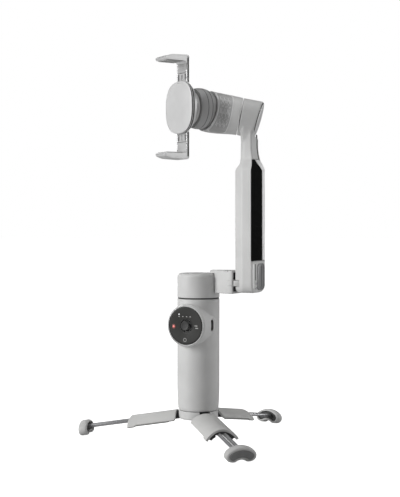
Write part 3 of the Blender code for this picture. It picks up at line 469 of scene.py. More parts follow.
def fused(bm, voxel=0.5, rounds=4):
    """Melt overlapping solids into one, with small natural fillets."""
    def add(item):
        melt = item.modifiers.new("melt", "REMESH")
        melt.mode = "VOXEL"
        melt.voxel_size = voxel
        relax = item.modifiers.new("relax", "SMOOTH")
        relax.factor = 0.5
        relax.iterations = rounds
    return with_modifiers(bm, add)


def combined(bm, operation, tools):
    for tool in tools:
        bmesh.ops.recalc_face_normals(tool, faces=tool.faces)
        mesh = bpy.data.meshes.new("tool")
        tool.to_mesh(mesh)
        tool.free()
        other = bpy.data.objects.new("tool", mesh)
        bpy.context.scene.collection.objects.link(other)

        def add(item):
            step = item.modifiers.new("step", "BOOLEAN")
            step.operation = operation
            step.object = other
        bm = with_modifiers(bm, add)
        bpy.data.objects.remove(other, do_unlink=True)
    return bm


def cut(bm, *tools):
    return combined(bm, "DIFFERENCE", tools)


def joined(bm, *tools):
    return combined(bm, "UNION", tools)


def frame_from(origin, z_axis, x_hint):
    """A frame at origin whose Z is z_axis and whose X is nearest to x_hint."""
    z = z_axis.normalized()
    x = (x_hint - z * x_hint.dot(z)).normalized()
    return Matrix.Translation(origin) @ Matrix((x, z.cross(x), z)).transposed().to_4x4()


def piece(name, bm, kind, body, replaces=(), place=None, angle=35):
    """Make a visible piece on a body; place moves it there from its own frame."""
    if place is not None:
        moved(bm, place)
    bmesh.ops.recalc_face_normals(bm, faces=bm.faces)
    bm.normal_update()
    moved(bm, TO_FRAME)
    mesh = bpy.data.meshes.new(name)
    bm.to_mesh(mesh)
    bm.free()
    mesh.materials.append(MATERIAL[kind])
    mesh.shade_smooth()
    mesh.set_sharp_from_angle(angle=math.radians(angle))
    item = bpy.data.objects.new(name, mesh)
    bpy.context.scene.collection.objects.link(item)
    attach(item, body)
    if replaces:
        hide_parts(*replaces)
    return item


# ---------------------------------------------------------------- handle

PANEL_Z = 98.5
PANEL_FLOOR = 20.2
PANEL_RISE = 2.4
PANEL_R = 16.6
SOCKET_ANGLE = math.radians(-26.0)


def panel_frame(height=0.0):
    return frame_from(Vector((0, -PANEL_FLOOR - height, PANEL_Z)), Vector((0, -1, 0)), Vector((1, 0, 0)))


def socket_frame():
    out = Vector((math.cos(SOCKET_ANGLE), math.sin(SOCKET_ANGLE), 0))
    return frame_from(Vector((0, 0, PANEL_Z)), out, UP)


def make_handle():
    skin = turned([(0, 25.7), (16.7, 25.7, 0.5), (17.3, 27.6, 3), (18.0, 41, 6), (18.0, 120.2, 0.5),
                   (0, 120.2)])
    boss = turned([(0, -16), (18.1, -16), (17.9, 1.5, 0.9), (17.25, PANEL_RISE, 0.3), (0, PANEL_RISE)])
    pad = eased(prism(rounded(7.6, 3.7, 3.6), 15.0, 18.55), 0.35, 3)
    casing = fused(merged(skin, moved(boss, panel_frame()), moved(pad, socket_frame())), 0.5, 5)
    seat = cylinder(PANEL_R + 0.3, 0, 6)
    stick_hole = cylinder(5.4, -6, 1, 64)
    socket_hole = prism(rounded(4.9, 1.9, 1.85), 12, 24)
    finger = prism(rounded(3.5, 9.6, 1.0), -24, -10.5)
    turn = shift(0, 0, 103.0) @ spin(90, "X")
    room = turned([(10.2, 28.1), (16.15, 28.1), (16.15, 119.2), (0, 119.2), (0, 112.2), (10.2, 112.2)], 0)
    bore = cylinder(8.8, 20, 112.5, 64)
    casing = cut(casing, room, bore, moved(seat, panel_frame()), moved(stick_hole, panel_frame()),
                 moved(socket_hole, socket_frame()), moved(finger, turn))
    piece("handle_casing", casing, "shell", "handle", ["handle_shell"])
    rim = turned([(PANEL_R - 0.5, 0.3), (PANEL_R, 0.3), (PANEL_R, 2.65), (PANEL_R - 0.25, 2.8),
                  (PANEL_R - 0.5, 2.6)], 0.12)
    piece("panel_bezel", rim, "bezel", "handle", ["panel_rim"], panel_frame())
    shell = cut(prism(rounded(4.5, 1.55, 1.5), 10.6, 17.9), prism(rounded(4.1, 1.15, 1.1), 12, 19))
    piece("socket_liner", shell, "lining_and_shade", "handle", ["usb_port"], socket_frame())
    tongue = box((-3.2, -0.35, 12.1), (3.2, 0.35, 17.2), 0.12, 2)
    piece("socket_tongue", tongue, "dark", "handle", (), socket_frame())
    lip = cut(prism(rounded(5.5, 2.45, 2.4), 17.6, 18.62), prism(rounded(4.9, 1.9, 1.85), 15, 24))
    piece("socket_lip", eased(lip, 0.12, 2, 60), "shell", "handle", (), socket_frame())


def make_panel():
    edge = PANEL_R - 0.85
    face = turned([(5.2, 0.7), (edge, 0.7), (edge, 2.2, 0.3), (edge - 0.8, 2.4, 0.6), (6.4, 1.9, 1.0),
                   (5.2, 1.6, 0.2)])
    piece("control_face", face, "panel", "control_ring", ["control_ring"], panel_frame())
    groove = turned([(5.5, 1.6), (6.0, 1.6), (6.0, 1.98), (5.5, 1.98)], 0.12)
    piece("control_groove", groove, "dark", "control_ring", (), panel_frame())
    stick = turned([(0, -3.7), (1.3, -3.7), (1.3, 2.9), (3.5, 3.0, 0.3), (3.9, 3.4), (3.9, 3.9, 0.3),
                    (3.4, 4.3),
                    (2.2, 4.0, 0.8), (0, 3.8)], 0.2, 96)
    piece("joystick_knob", stick, "stick", "joystick", ["joystick_cap"], panel_frame())
    ribs = [moved(box((3.72, -0.13, 3.3), (4.0, 0.13, 4.0), 0.05, 1), spin(15 * i))
            for i in range(24)]
    piece("joystick_ribs", merged(*ribs), "stick", "joystick", (), panel_frame())
    make_marks()


DISH_R, DISH_LOW, DISH_RISE = 6.4, 1.9, 0.5


def face_height(radius):
    """How far the dished panel stands out at a distance from its centre."""
    return DISH_LOW + DISH_RISE * (radius - DISH_R) / (PANEL_R - 1.65 - DISH_R)


def mark(shape, x, y, proud=0.05):
    """Set a flat shape, drawn between heights 0 and 1, into the panel's face."""
    top = face_height(math.hypot(x, y) + 0.8) + proud
    return moved(shape, shift(x, y, top - 0.4) @ Matrix.Diagonal((1, 1, 0.4, 1)))


def dot(radius):
    return turned([(0, 0), (radius, 0), (radius, 1), (0, 1)], 0.04, 32)


def add_mark(name, kind, *shapes):
    piece(name, merged(*shapes), kind, "control_ring", (), panel_frame())


def make_marks():
    """Generic lights and touch marks that lie on the panel."""
    add_mark("status_marks", "panel_ink", *[mark(prism(rounded(0.6, 0.36, 0.3, 4), 0, 1), x, 7.6)
                                      for x in (-6.4, -2.9, 0.6, 4.1)])
    add_mark("status_light", "white_light", mark(dot(0.55), -6.4, 9.4))
    add_mark("record_glow", "red_glow", mark(dot(1.9), -11.6, -0.9, 0.03))
    add_mark("record_light", "red_light", mark(dot(0.95), -11.6, -0.9, 0.07))
    add_mark("mode_mark", "panel_ink", *[mark(prism(rounded(1.4, 0.4, 0.35, 4), 0, 1), x, y)
                                   for x, y in ((9.6, 0.2), (10.3, -1.7))])
    ring = turned([(1.1, 0), (1.6, 0), (1.6, 1), (1.1, 1)], 0.04, 48)
    add_mark("switch_mark", "panel_ink", mark(ring, -0.8, -11.9, 0.08))


TRIGGER_Y, TRIGGER_Z = 15.6, 109.6


def make_trigger():
    side = [(-1.6, 1.4), (1.2, 1.9), (3.4, 0.2), (5.0, -4.0), (6.0, -9.0), (5.6, -13.2), (3.6, -15.2),
            (1.6, -13.6), (0.2, -7.0), (-1.6, -2.0)]
    outline = soft(side, 1.2)
    lever = eased(loft([[(x, TRIGGER_Y + y, TRIGGER_Z + z) for y, z in outline] for x in (-3.1, 3.1)]), 0.5, 3)
    ribs = [moved(box((-2.3, -0.25, -0.3), (2.3, 0.3, 0.3), 0.2, 2), shift(0, TRIGGER_Y + y, TRIGGER_Z + z))
            for y, z in ((5.35, -5.6), (5.6, -7.4), (5.82, -9.2), (5.78, -11.0))]
    piece("trigger_lever", merged(lever, *ribs), "shell", "trigger", ["trigger"])


# ---------------------------------------------------------------- pan joint

HINGE_Z = 134.4


def hinge_frame():
    return shift(0, 0, HINGE_Z) @ spin(90, "Y")


def make_pan():
    cap = turned([(15.8, PAN_CAP_BASE), (18, PAN_CAP_BASE, 0.35), (18, 139.4, 1.2), (17.2, 141.1, 0.7),
                  (15.8, 141.7, 0.7), (0, 141.7), (0, 139.7), (8.5, 139.7), (8.5, 133.7), (15.8, 133.7)])
    piece("pan_cover", cap, "shell", "pan_group", ["pan_cap"])
    groove = turned([(12.2, 141.5), (12.6, 141.5), (12.6, 141.74), (12.2, 141.74)], 0.05)
    piece("pan_cover_line", groove, "silver", "pan_group")
    plan = [(12, -2.6), (33.6, -10.3, 5), (37.6, -10.3, 1.2), (37.6, 10.3, 1.2), (33.6, 10.3, 5), (12, 2.6)]
    block = eased(prism(soft(plan, 0), 125.4, 144.8), 1.4, 5, 50)
    around = cylinder(18.35, 120, 142.05)
    pin = moved(cylinder(2.8, 29.7, 50, 48), hinge_frame())
    notches = [box((x - 0.35, side * 8.0 - 2.0, 143.9), (x + 0.35, side * 8.0 + 2.0, 146))
               for x in (29.8, 32.6, 35.4) for side in (-1, 1)]
    block = cut(block, around, pin, *notches)
    keeper = box((32.6, -10.8, HINGE_Z - 2.3), (37.4, -7.3, HINGE_Z + 2.3), 0.45, 3)
    piece("pan_bracket", merged(block, keeper), "shell", "pan_group", ["pan_arm"])
    ends = [box((36.6, -9.2, 127.2), (37.68, 9.2, HINGE_Z - 3.2), 0.3, 2),
            box((36.6, -9.2, HINGE_Z + 3.2), (37.68, 9.2, 143.0), 0.3, 2)]
    piece("hinge_washers", merged(*ends), "lining_and_shade", "pan_group")


# ---------------------------------------------------------------- arm

ROLL_SEAM = Vector((38.8, 1.6, 273.6))
ROLL_DEPTH = 15.4
CAP_TILT = (6.5, -6.0)
TILT_CENTRE = Vector((7.9, -14.8, 280.2))
FACE_NORMAL = Vector((math.cos(math.radians(-120)), math.sin(math.radians(-120)), 0))
ARM_FACE = 56.7
ARM_STATIONS = [
    (126.4, 6.2, 54.4, 44.0, 40.0, 4.0), (127.0, 8.4, 55.7, 45.4, 38.8, 5.4),
    (128.5, 10.7, 56.5, 46.6, 38.4, 6.6),
    (130.8, 12.3, 56.7, 47.0, 38.4, 7.4), (134.0, 13.0, 56.7, 47.0, 38.4, 7.6),
    (228.0, 13.0, 56.7, 47.0, 38.4, 7.6),
    (230.5, 12.0, 56.6, 47.0, 39.8, 7.4), (233.5, 9.9, 56.0, 46.8, 41.8, 6.6),
    (237.0, 7.9, 54.9, 46.4, 42.3, 5.8),
    (242.0, 7.2, 53.9, 46.0, 42.3, 5.3), (247.0, 7.1, 53.4, 46.0, 42.3, 5.2),
    (258.0, 7.1, 53.2, 46.0, 42.3, 5.2),
    (264.0, 6.8, 51.6, 45.6, 42.3, 5.0), (268.0, 5.4, 49.4, 45.0, 42.6, 4.4)]
POCKET_ROWS = ((152.6, -13.5, 11.9), (228.4, -13.5, 11.9), (233.2, -11.0, 9.2), (237.2, -9.0, 6.7))
GLASS_ROWS = ((153.2, -12.9, 6.6), (228.2, -12.9, 6.3), (233.0, -10.1, -0.6), (236.8, -7.8, -4.2))
TRIM_ROWS = ((153.2, 7.1, 11.6), (228.2, 6.8, 11.6), (233.0, 0.1, 8.9), (236.8, -3.7, 6.4))
SHADOW_ROWS = ((237.6, 3.5, 5.3), (250.0, 2.9, 4.6), (258.0, 2.9, 4.6))
COVER_PLACE = shift(0, 4.3, 0)
COVER_LINE_Y, HINGE_STRIP_Y, HINGE_SHADOW_Y, SCREW_Y = 4.4, -10.2, -6.3, -5.2


def roll_frame():
    return frame_from(ROLL_SEAM, TILT_CENTRE - ROLL_SEAM, -UP)


def face_frame():
    return frame_from(TILT_CENTRE, FACE_NORMAL, UP.cross(FACE_NORMAL))


def glide(rows, per_gap=4):
    """Catmull-Rom through rows of numbers; the first number runs evenly between rows."""
    out = []
    for i in range(len(rows) - 1):
        a, b, c, d = (rows[min(max(i + k, 0), len(rows) - 1)] for k in (-1, 0, 1, 2))
        for s in range(per_gap):
            t = s / per_gap
            row = [0.5 * (2 * q + (r - p) * t + (2 * p - 5 * q + 4 * r - u) * t * t
                          + (3 * q - p - 3 * r + u) * t ** 3) for p, q, r, u in zip(a, b, c, d)]
            out.append([b[0] + (c[0] - b[0]) * t] + row[1:])
    return out + [list(rows[-1])]


def arm_section(height, half, outer, side, inner, inner_half):
    points = [(outer, half), (side, half), (inner, inner_half), (inner, -inner_half), (side, -half),
              (outer, -half)]
    return [(x, y, height) for x, y in soft(points, 1.3, 5)]


def neck_flare():
    """Rings that widen from the neck to the sides of the roll housing."""
    roll = roll_frame()
    centre = roll @ Vector((0, 0, -ROLL_DEPTH / 2))
    along = Vector((roll.col[2].x, roll.col[2].y, 0)).normalized()
    rings = []
    for height, share in glide([(248, 0.0), (252, 0.14), (256, 0.34), (260, 0.60), (264, 0.85), (268, 1.0)]):
        middle = Vector((47.8, 0, height)).lerp(Vector((centre.x, centre.y, height)), share)
        first = Vector((1, 0, 0)).lerp(-along, share).normalized()
        second = UP.cross(first)
        rings.append([middle + first * x + second * y
                      for x, y in rounded(4.9 + 1.8 * share, 6.7 + 7.3 * share, 3.0, 6)])
    return loft(rings)


def cap_frame():
    """Frame on the housing's far end, which leans a little from the roll axis."""
    return roll_frame() @ shift(0, 0, -ROLL_DEPTH) @ (
        spin(CAP_TILT[0], "X") @ spin(CAP_TILT[1], "Y"))


def arm_outer(height):
    """The outer face's x at a height."""
    rows = glide(ARM_STATIONS)
    for low, high in zip(rows, rows[1:]):
        if low[0] <= height <= high[0]:
            return low[2] + (high[2] - low[2]) * (height - low[0]) / (high[0] - low[0])
    return ARM_FACE


def face_strip(rows, inward, outward, edge=0.15):
    """A strip that follows the arm's outer face, from rows of height, lowest y and highest y."""
    sections = []
    for (z0, a0, b0), (z1, a1, b1) in zip(rows, rows[1:]):
        for k in range(8 if z1 < rows[-1][0] else 9):
            t = k / 8
            x, z = arm_outer(z0 + (z1 - z0) * t), z0 + (z1 - z0) * t
            first, last = a0 + (a1 - a0) * t, b0 + (b1 - b0) * t
            corners = ((x - inward, first), (x - inward, last), (x + outward, last), (x + outward, first))
            sections.append([(cx, cy, z) for cx, cy in corners])
    return eased(loft(sections), edge, 2, 60) if edge else loft(sections)


def on_face(half, low, high, radius, inner, outer, edge=0.0):
    """A rounded slab on the arm's outer face."""
    turn = Matrix(((0, 0, 1, 0), (1, 0, 0, 0), (0, 1, 0, (low + high) / 2), (0, 0, 0, 1)))
    slab = prism(rounded(half, (high - low) / 2, radius), inner, outer)
    if edge > 0:
        eased(slab, edge, 3, 60)
    return moved(slab, turn)


def make_arm():
    roll = roll_frame()
    behind = moved(cylinder(16.3, -14, 0), cap_frame())
    housing = moved(turned([(0, -18.8), (15.7, -18.8, 0), (15.7, -0.3, 0.25), (0, -0.3)]), roll)
    parts = [cut(part, behind.copy()) for part in (neck_flare(), housing)]
    body = loft([arm_section(*row) for row in glide(ARM_STATIONS)])
    solid = fused(merged(body, *parts), 0.5, 4)
    seam = box((-30, -30, -0.2), (30, 30, 20))
    cavity = cylinder(12.4, -11, 3, 64)
    pin = moved(cylinder(2.8, 30, 46.3, 48), hinge_frame())
    latch = box((30, -14, HINGE_Z - 2.6), (44.0, -5.1, HINGE_Z + 2.6))
    seat = moved(on_face(7.6, 128.6, 150.8, 4.1, ARM_FACE - 0.9, ARM_FACE + 4), COVER_PLACE)
    solid = cut(solid, behind, face_strip(POCKET_ROWS, 1.1, 4, 0), seat, pin, latch, moved(seam, roll),
                moved(cavity, roll))
    piece("arm_casting", solid, "shell", "arm", ["arm_frame"])
    make_arm_face()
    cap = turned([(0, -1.6), (9, -1.5, 2), (13.8, -1.0, 0.8), (14.4, -0.4, 0.25), (14.4, -0.1), (0, -0.1)])
    piece("roll_cap", cap, "bezel", "arm", ["roll_end_cap"], cap_frame())
    ring = turned([(14.3, -0.7), (14.9, -0.5), (14.9, 0.1), (14.3, 0.1)], 0.1)
    piece("roll_cap_ring", ring, "lining_and_shade", "arm", (), cap_frame())


def make_arm_face():
    """The glossy inlay and its bright strip, and the hinge cover below them."""
    piece("inlay_glass", face_strip(GLASS_ROWS, 0.8, 0.1), "black", "arm", ["arm_inlay"],
          None, 18)
    piece("inlay_strip", face_strip(TRIM_ROWS, 0.8, 0.2, 0.25), "bezel", "arm", ["arm_trim"],
          None, 18)
    # Painted shadow: a dark strip on the arm's outer face where the neck meets the roll housing.
    shadow = face_strip(SHADOW_ROWS, 0.5, 0.12)
    piece("neck_painted_shadow", shadow, "dark", "arm")
    plate = moved(on_face(7.3, 128.9, 150.5, 3.8, ARM_FACE - 0.6, ARM_FACE + 0.3, 0.25), COVER_PLACE)
    line = on_face(0.5, 131.2, 149.0, 0.45, ARM_FACE - 0.05, ARM_FACE + 3)
    plate = cut(plate, moved(line, shift(0, COVER_LINE_Y, 0)))
    piece("hinge_plate", plate, "cover", "arm", ["hinge_cover"])
    strip = moved(on_face(1.3, 130.6, 150.6, 1.0, ARM_FACE - 0.5, ARM_FACE + 0.14, 0.1),
                  shift(0, HINGE_STRIP_Y, 0))
    piece("hinge_strip", strip, "bezel", "arm")
    # Painted shadow: a dark strip on the arm's outer face beside the hinge cover.
    seam = moved(on_face(0.7, 137.0, 150.6, 0.6, ARM_FACE - 0.5, ARM_FACE + 0.06, 0.05),
                 shift(0, HINGE_SHADOW_Y, 0))
    piece("hinge_shadow", seam, "dark", "arm")
    heads = []
    for z in (130.4, 134.4):
        head = cut(turned([(0, 0), (0.95, 0), (0.95, 0.5, 0.15), (0, 0.55)], 0.05, 32),
                   box((-0.16, -0.7, 0.3), (0.16, 0.7, 1)), box((-0.7, -0.16, 0.3), (0.7, 0.16, 1)))
        place = shift(ARM_FACE - 0.05, SCREW_Y, z) @ spin(90, "Y")
        heads.append(moved(head, place))
    piece("hinge_screws", merged(*heads), "steel", "arm")


def make_latch():
    body = box((38.4, -10.7, HINGE_Z - 2.3), (43.7, -6.9, HINGE_Z + 2.3), 0.6, 4)
    ribs = [box((39.6 + 1.1 * i, -10.95, HINGE_Z - 1.5), (40.1 + 1.1 * i, -10.5, HINGE_Z + 1.5), 0.12, 2)
            for i in range(3)]
    piece("latch_button", merged(body, *ribs), "shell", "latch", ["arm_latch"])


# ---------------------------------------------------------------- barrel and ball

CUP_PLANE, CUP_R, ROLL_R, BALL_R = -8.5, 19.2, 15.7, 17.2
CUP_LEAN = 0.19
RIM_R = math.sqrt(CUP_R ** 2 - CUP_PLANE ** 2)


def cup_frame():
    """The ball's centre with Z along the cup's own axis, which leans up a little."""
    return frame_from(TILT_CENTRE, (FACE_NORMAL + UP * CUP_LEAN).normalized(), UP.cross(FACE_NORMAL))


def barrel_point(t, turn, lift=0.0):
    """A point on the barrel: t runs from the roll seam to the cup, turn is 90 degrees at -Y."""
    roll, face = roll_frame(), cup_frame()
    first, last = roll.col[2].xyz, face.col[2].xyz
    start = roll.translation + first * 0.3
    end = face.translation + last * CUP_PLANE
    pull = (end - start).length
    h = (2 * t ** 3 - 3 * t ** 2 + 1, t ** 3 - 2 * t ** 2 + t, -2 * t ** 3 + 3 * t ** 2, t ** 3 - t ** 2)
    centre = start * h[0] + first * (pull * h[1]) + end * h[2] + last * (pull * h[3])
    radius = ROLL_R + (RIM_R - ROLL_R) * (3 * t * t - 2 * t ** 3) + 0.4 * math.sin(math.pi * t) + lift
    place = frame_from(centre, first.slerp(last, t), -UP)
    angle = math.radians(turn)
    return place @ Vector((radius * math.cos(angle), radius * math.sin(angle), 0))


def skin_patch(t_range, turn_range, lift, corner=0.0, across=24, along=40):
    """A thin rounded patch on the barrel's surface."""
    t_mid, t_half = sum(t_range) / 2, (t_range[1] - t_range[0]) / 2
    a_mid, a_half = sum(turn_range) / 2, (turn_range[1] - turn_range[0]) / 2
    layers = []
    for height in (-0.25, lift):
        rows = []
        for j in range(along + 1):
            v = 2 * j / along - 1
            over = max(0.0, (abs(v) - (1 - corner)) / corner) if corner else 0.0
            width = 1 - 0.45 * (1 - math.sqrt(max(0.0, 1 - over * over)))
            rows.append([barrel_point(t_mid + t_half * width * (2 * i / across - 1), a_mid + a_half * v,
                                      height)
                         for i in range(across + 1)])
        layers.append(rows)
    return between(*layers)


def make_barrel():
    steps = 28
    rings = [[barrel_point(i / steps, 360 * k / ROUND) for k in range(ROUND)] for i in range(steps + 1)]
    rings[0] = [barrel_point(0, 360 * k / ROUND, -0.25) for k in range(ROUND)]
    rings.insert(1, [barrel_point(0.008, 360 * k / ROUND) for k in range(ROUND)])
    ball = ball_solid(BALL_R + 0.3, -BALL_R - 0.3, BALL_R + 0.3)
    shaft = turned([(0, -8.4), (3, -8.4), (3, 2), (0, 2)], 0.3, 48)
    shell = cut(loft(rings), moved(ball, Matrix.Translation(TILT_CENTRE)))
    shell = joined(shell, moved(shaft, roll_frame()))
    piece("barrel_shell", shell, "shell", "barrel_group", ["barrel"])
    lip = turned([(RIM_R - 1.9, CUP_PLANE - 0.4), (RIM_R - 0.05, CUP_PLANE - 0.9),
                  (RIM_R + 0.12, CUP_PLANE - 0.2, 0.2),
                  (RIM_R - 0.5, CUP_PLANE + 0.35, 0.2), (RIM_R - 1.9, CUP_PLANE + 0.1)], 0.1)
    piece("barrel_lip", lip, "silver", "barrel_group", (), cup_frame())
    piece("rating_border", skin_patch((0.355, 0.965), (9, 158), 0.05, 0.16), "ink", "barrel_group")
    piece("rating_plate", skin_patch((0.375, 0.955), (11.5, 155.5), 0.09, 0.16), "label", "barrel_group")
    marks = []
    for row in range(9):
        t = 0.44 + 0.052 * row
        for start, end in ((46, 62), (66, 74), (80, 98), (104, 112), (117, 134)):
            shift = 5 * math.sin(2.1 * row + start)
            marks.append(skin_patch((t, t + 0.018), (start + shift, end + shift - 4), 0.11, 0, 1, 6))
    piece("rating_marks", merged(*marks), "ink", "barrel_group")


def ball_solid(radius, low, high, grooves=(), steps=48):
    """A ball cut by two planes, with shallow grooves at the given heights."""
    start, stop = math.asin(max(-1, low / radius)), math.asin(min(1, high / radius))
    heights = [radius * math.sin(start + (stop - start) * i / steps) for i in range(steps + 1)]
    points = [(math.sqrt(max(0.0, radius ** 2 - z * z)), z) for z in heights]
    for at in grooves:
        points = [p for p in points if abs(p[1] - at) > 0.42]
        for offset, depth in ((-0.35, 0), (-0.15, 0.15), (0.15, 0.15), (0.35, 0)):
            points.append((math.sqrt(radius ** 2 - (at + offset) ** 2) - depth, at + offset))
    points.sort(key=lambda p: p[1])
    if points[0][0] > 1e-6:
        points.insert(0, (0, low))
    if points[-1][0] > 1e-6:
        points.append((0, high))
    return turned([(r, z, 0) for r, z in points], 0)


def make_ball():
    ball = ball_solid(BALL_R, -BALL_R, 6.0, grooves=(0.4, -3.9))
    cavity = cylinder(11, -9.5, 12, 64)
    lines = []
    for at, width in ((0.4, 0.34), (-3.9, 0.34), (-6.6, 0.2)):
        out = math.sqrt(BALL_R ** 2 - at ** 2)
        lines.append(turned([(out - 0.6, at - width), (out - 0.04, at - width), (out - 0.04, at + width),
                             (out - 0.6, at + width)], 0.05))
    piece("ball_lines", merged(*lines), "bulb_line", "tilt_group", (), face_frame())
    piece("tilt_ball", cut(ball, cavity), "bulb", "tilt_group", ["tilt_bulb"], face_frame())
    dish = turned([(0, 6.3), (13.2, 6.3, 0.3), (14.0, 6.9, 0.3), (14.0, 8.7, 0.4), (13.4, 9.2, 0.3),
                   (9.2, 9.2),
                   (9.2, 7.4), (0, 7.4)])
    piece("magnet_dish", dish, "shell", "tilt_group", ["mount_disc"], face_frame())


# ---------------------------------------------------------------- clamp

def plate_levels(levels, steps=144):
    """A rounded square, nearly a circle, at several (height, inset) levels."""
    turns = [2 * math.pi * (i + 0.5) / steps for i in range(steps)]
    unit = [[math.copysign(abs(v) ** (2 / 2.6), v) for v in (math.cos(t), math.sin(t))] for t in turns]
    return loft([[(x * (21.0 - inset), y * (21.6 - inset), z) for x, y in unit] for z, inset in levels])


def make_clamp():
    face = face_frame()
    back = turned([(0, 11.3), (9.2, 11.3), (9.2, 9.5), (14.2, 9.5, 0.3), (15.0, 10.3, 0.3), (15.4, 12.2, 0.5),
                   (19.2, 12.6, 0.5), (20.2, 13.6, 0.5), (20.2, 16.1), (0, 16.1)])
    channel = box((-8.3, -30, 13.5), (8.3, 30, 20))
    piece("clamp_body", cut(back, channel), "silver", "clamp", ["clamp_base"], face)
    plate = plate_levels([(16.4, 0.9), (16.9, 0.7), (17.5, 0.7), (17.65, 0.1), (17.9, 0.0), (18.35, 0.0),
                          (18.5, 0.45),
                          (19.0, 0.45), (19.12, 0.05), (19.35, 0.1), (19.62, 0.4), (19.76, 0.9), (19.8, 1.5),
                          (19.55, 1.75), (19.5, 2.15), (19.66, 3.0)])
    piece("clamp_face", plate, "plate", "clamp", ["clamp_plate"], face, 30)
    # Painted shade: dark rings set into the two grooves of the plate's rim, standing in for the shade in those
    # gaps.
    bands = [cut(plate_levels([(low, inset), (high, inset)]), plate_levels([(low - 1, 1.4), (high + 1, 1.4)]))
             for low, high, inset in ((16.42, 17.5, 0.5), (18.5, 19.0, 0.12))]
    piece("clamp_gap_shade", merged(*bands), "dark", "clamp", (), face)
    for name, turn in (("upper", 0), ("lower", 180)):
        make_jaw(name, face @ spin(turn))


def make_jaw(name, place):
    body = "jaw_top" if name == "upper" else "jaw_bottom"
    outline = [(-8, 19), (3.1, 19, 0.2), (3.1, -6, 0.2), (7.6, -6, 0.2), (7.6, 18.6, 0.2), (8, 19.4, 0.3),
               (8, 42.0, 0),
               (-8, 42.0, 0)]
    strap = eased(prism(soft(outline, 0.4), 13.8, 16.1), 0.3, 3, 60)
    slots = [prism(soft([(x - w, 22.6), (x + w, 22.6), (x + w, 27.6), (x - w, 27.6)], 0.4), 10, 20)
             for x, w in ((-5.2, 0.9), (0, 0.5), (5.2, 0.9))]
    strap = cut(strap, *slots)
    side = [(13.8, 36.5, 0.2), (16.1, 36.5, 0.4), (17.3, 38.0, 1.2), (35.8, 38.0, 1.0), (37.0, 38.8, 0.8),
            (36.6, 40.6, 1.2), (31.4, 42.6, 4.0), (15.2, 43.2, 1.4), (13.8, 42.2, 0.8)]
    hook = eased(loft([[(x, y, z) for z, y in soft(side, 0.5)] for x in (-8, 8)]), 0.7, 4, 60)
    piece("jaw_arm_" + name, merged(strap, hook), "silver", body, ["jaw_" + name], place)
    backing = box((-7.6, 20.2, 13.55), (7.6, 29.4, 13.95), 0.1, 1)
    piece("jaw_backing_" + name, backing, "lining_and_shade", body, (), place)
    # Painted shade: thin dark sheets on both side faces of the strap, darkening its thickness as if it were
    # turned from the light.
    side = box((7.72, 20.5, 14.3), (8.08, 40.5, 15.6), 0.1, 2)
    piece("jaw_side_shade_" + name, merged(side, moved(side.copy(), shift(-15.8, 0, 0))), "lining_and_shade", body,
          (), place)
    rail = merged(box((-7.2, 28.4, 15.9), (7.2, 28.9, 16.25), 0.1, 2),
                  box((-7.7, 21.8, 14.2), (-7.0, 36, 16.22), 0.12, 2),
                  box((7.0, 21.8, 14.2), (7.7, 36, 16.22), 0.12, 2))
    piece("jaw_ribs_" + name, rail, "chrome", body, (), place)
    lines = [box((-6.8 + 1.7 * i, 37.35, 20.0), (-6.1 + 1.7 * i, 37.72, 34.6), 0.12, 2) for i in range(9)]
    pad = merged(box((-7.0, 37.6, 19.4), (7.0, 38.4, 35.2), 0.25, 3), *lines)
    piece("jaw_grip_" + name, pad, "grip", body, ["jaw_pad_" + name], place)


# ---------------------------------------------------------------- tripod

LEG_ANGLES = {"front": -43.0, "right": 77.0, "left": -163.0}
PIVOT_R, PIVOT_Z, LEG_SLOPE = 12.5, 21.5, 9.0


def leg_frame(angle):
    """Frame on the pivot: -Z runs down the leg and +X is its outer side."""
    turn = spin(angle)
    return turn @ shift(PIVOT_R, 0, PIVOT_Z) @ spin(LEG_SLOPE - 90, "Y")


def make_hub():
    hub = turned([(4.2, 18.3), (16.0, 18.3, 0.4), (16.8, 19.2, 0.5), (16.8, 25.2, 0.2), (16.5, 25.4),
                  (4.2, 25.4)])
    tools = []
    for angle in LEG_ANGLES.values():
        turn = spin(angle)
        pin = cylinder(1.3, -8.2, 8.2, 32)
        side = shift(PIVOT_R, 0, PIVOT_Z) @ spin(-90, "X")
        tools += [moved(box((8.3, -4.5, 10), (30, 4.5, 30)), turn), moved(pin, turn @ side)]
    piece("hub_casting", cut(hub, *tools), "shell", "base", ["base_hub"])


SHELL_END, GUIDE_END = 48.0, 41.0
SHELL_HALF_ANGLE, HOOK_ANGLE = 54, 4.6
SHELL_INNER, SHELL_OUTER, SHELL_TOP = 14.6, 16.8, -5.4
ROD_R, ROD_Y = 1.5, 2.3
FOOT_MIDDLE, FOOT_HALF_WIDTH, FOOT_HALF_ANGLE = 12.8, 5.2, 57


def leg_skin():
    """The curved shell with rounded outer corners and a hooked tab at each side."""
    columns, rows = 60, 40
    layers = []
    for radius in (SHELL_OUTER, SHELL_INNER):
        grid = []
        for i in range(columns + 1):
            share = 2 * i / columns - 1
            edge = max(0.0, (abs(share) - 0.80) / 0.20)
            low = -SHELL_END + 2.0 * math.cos(math.pi * share / 2) ** 2
            high = SHELL_TOP - 1.6 * edge ** 2
            column = []
            for j in range(rows + 1):
                z = high + (low - high) * j / rows
                hook = min(1.0, max(0.0, (-z - (SHELL_END - 8.0)) / 2.0))
                turn = math.radians(share * (SHELL_HALF_ANGLE + HOOK_ANGLE * hook * hook * (3 - 2 * hook)))
                column.append((radius * math.cos(turn) - PIVOT_R, radius * math.sin(turn), z))
            grid.append(column)
        layers.append(grid)
    return eased(between(*layers), 0.35, 2, 50)


def faces_inward(face):
    """True for the hollow side of a leg shell, in the leg's frame."""
    centre = face.calc_center_median()
    out = Vector((centre.x + PIVOT_R, centre.y, 0)).normalized()
    return face.normal.dot(out) < -0.5


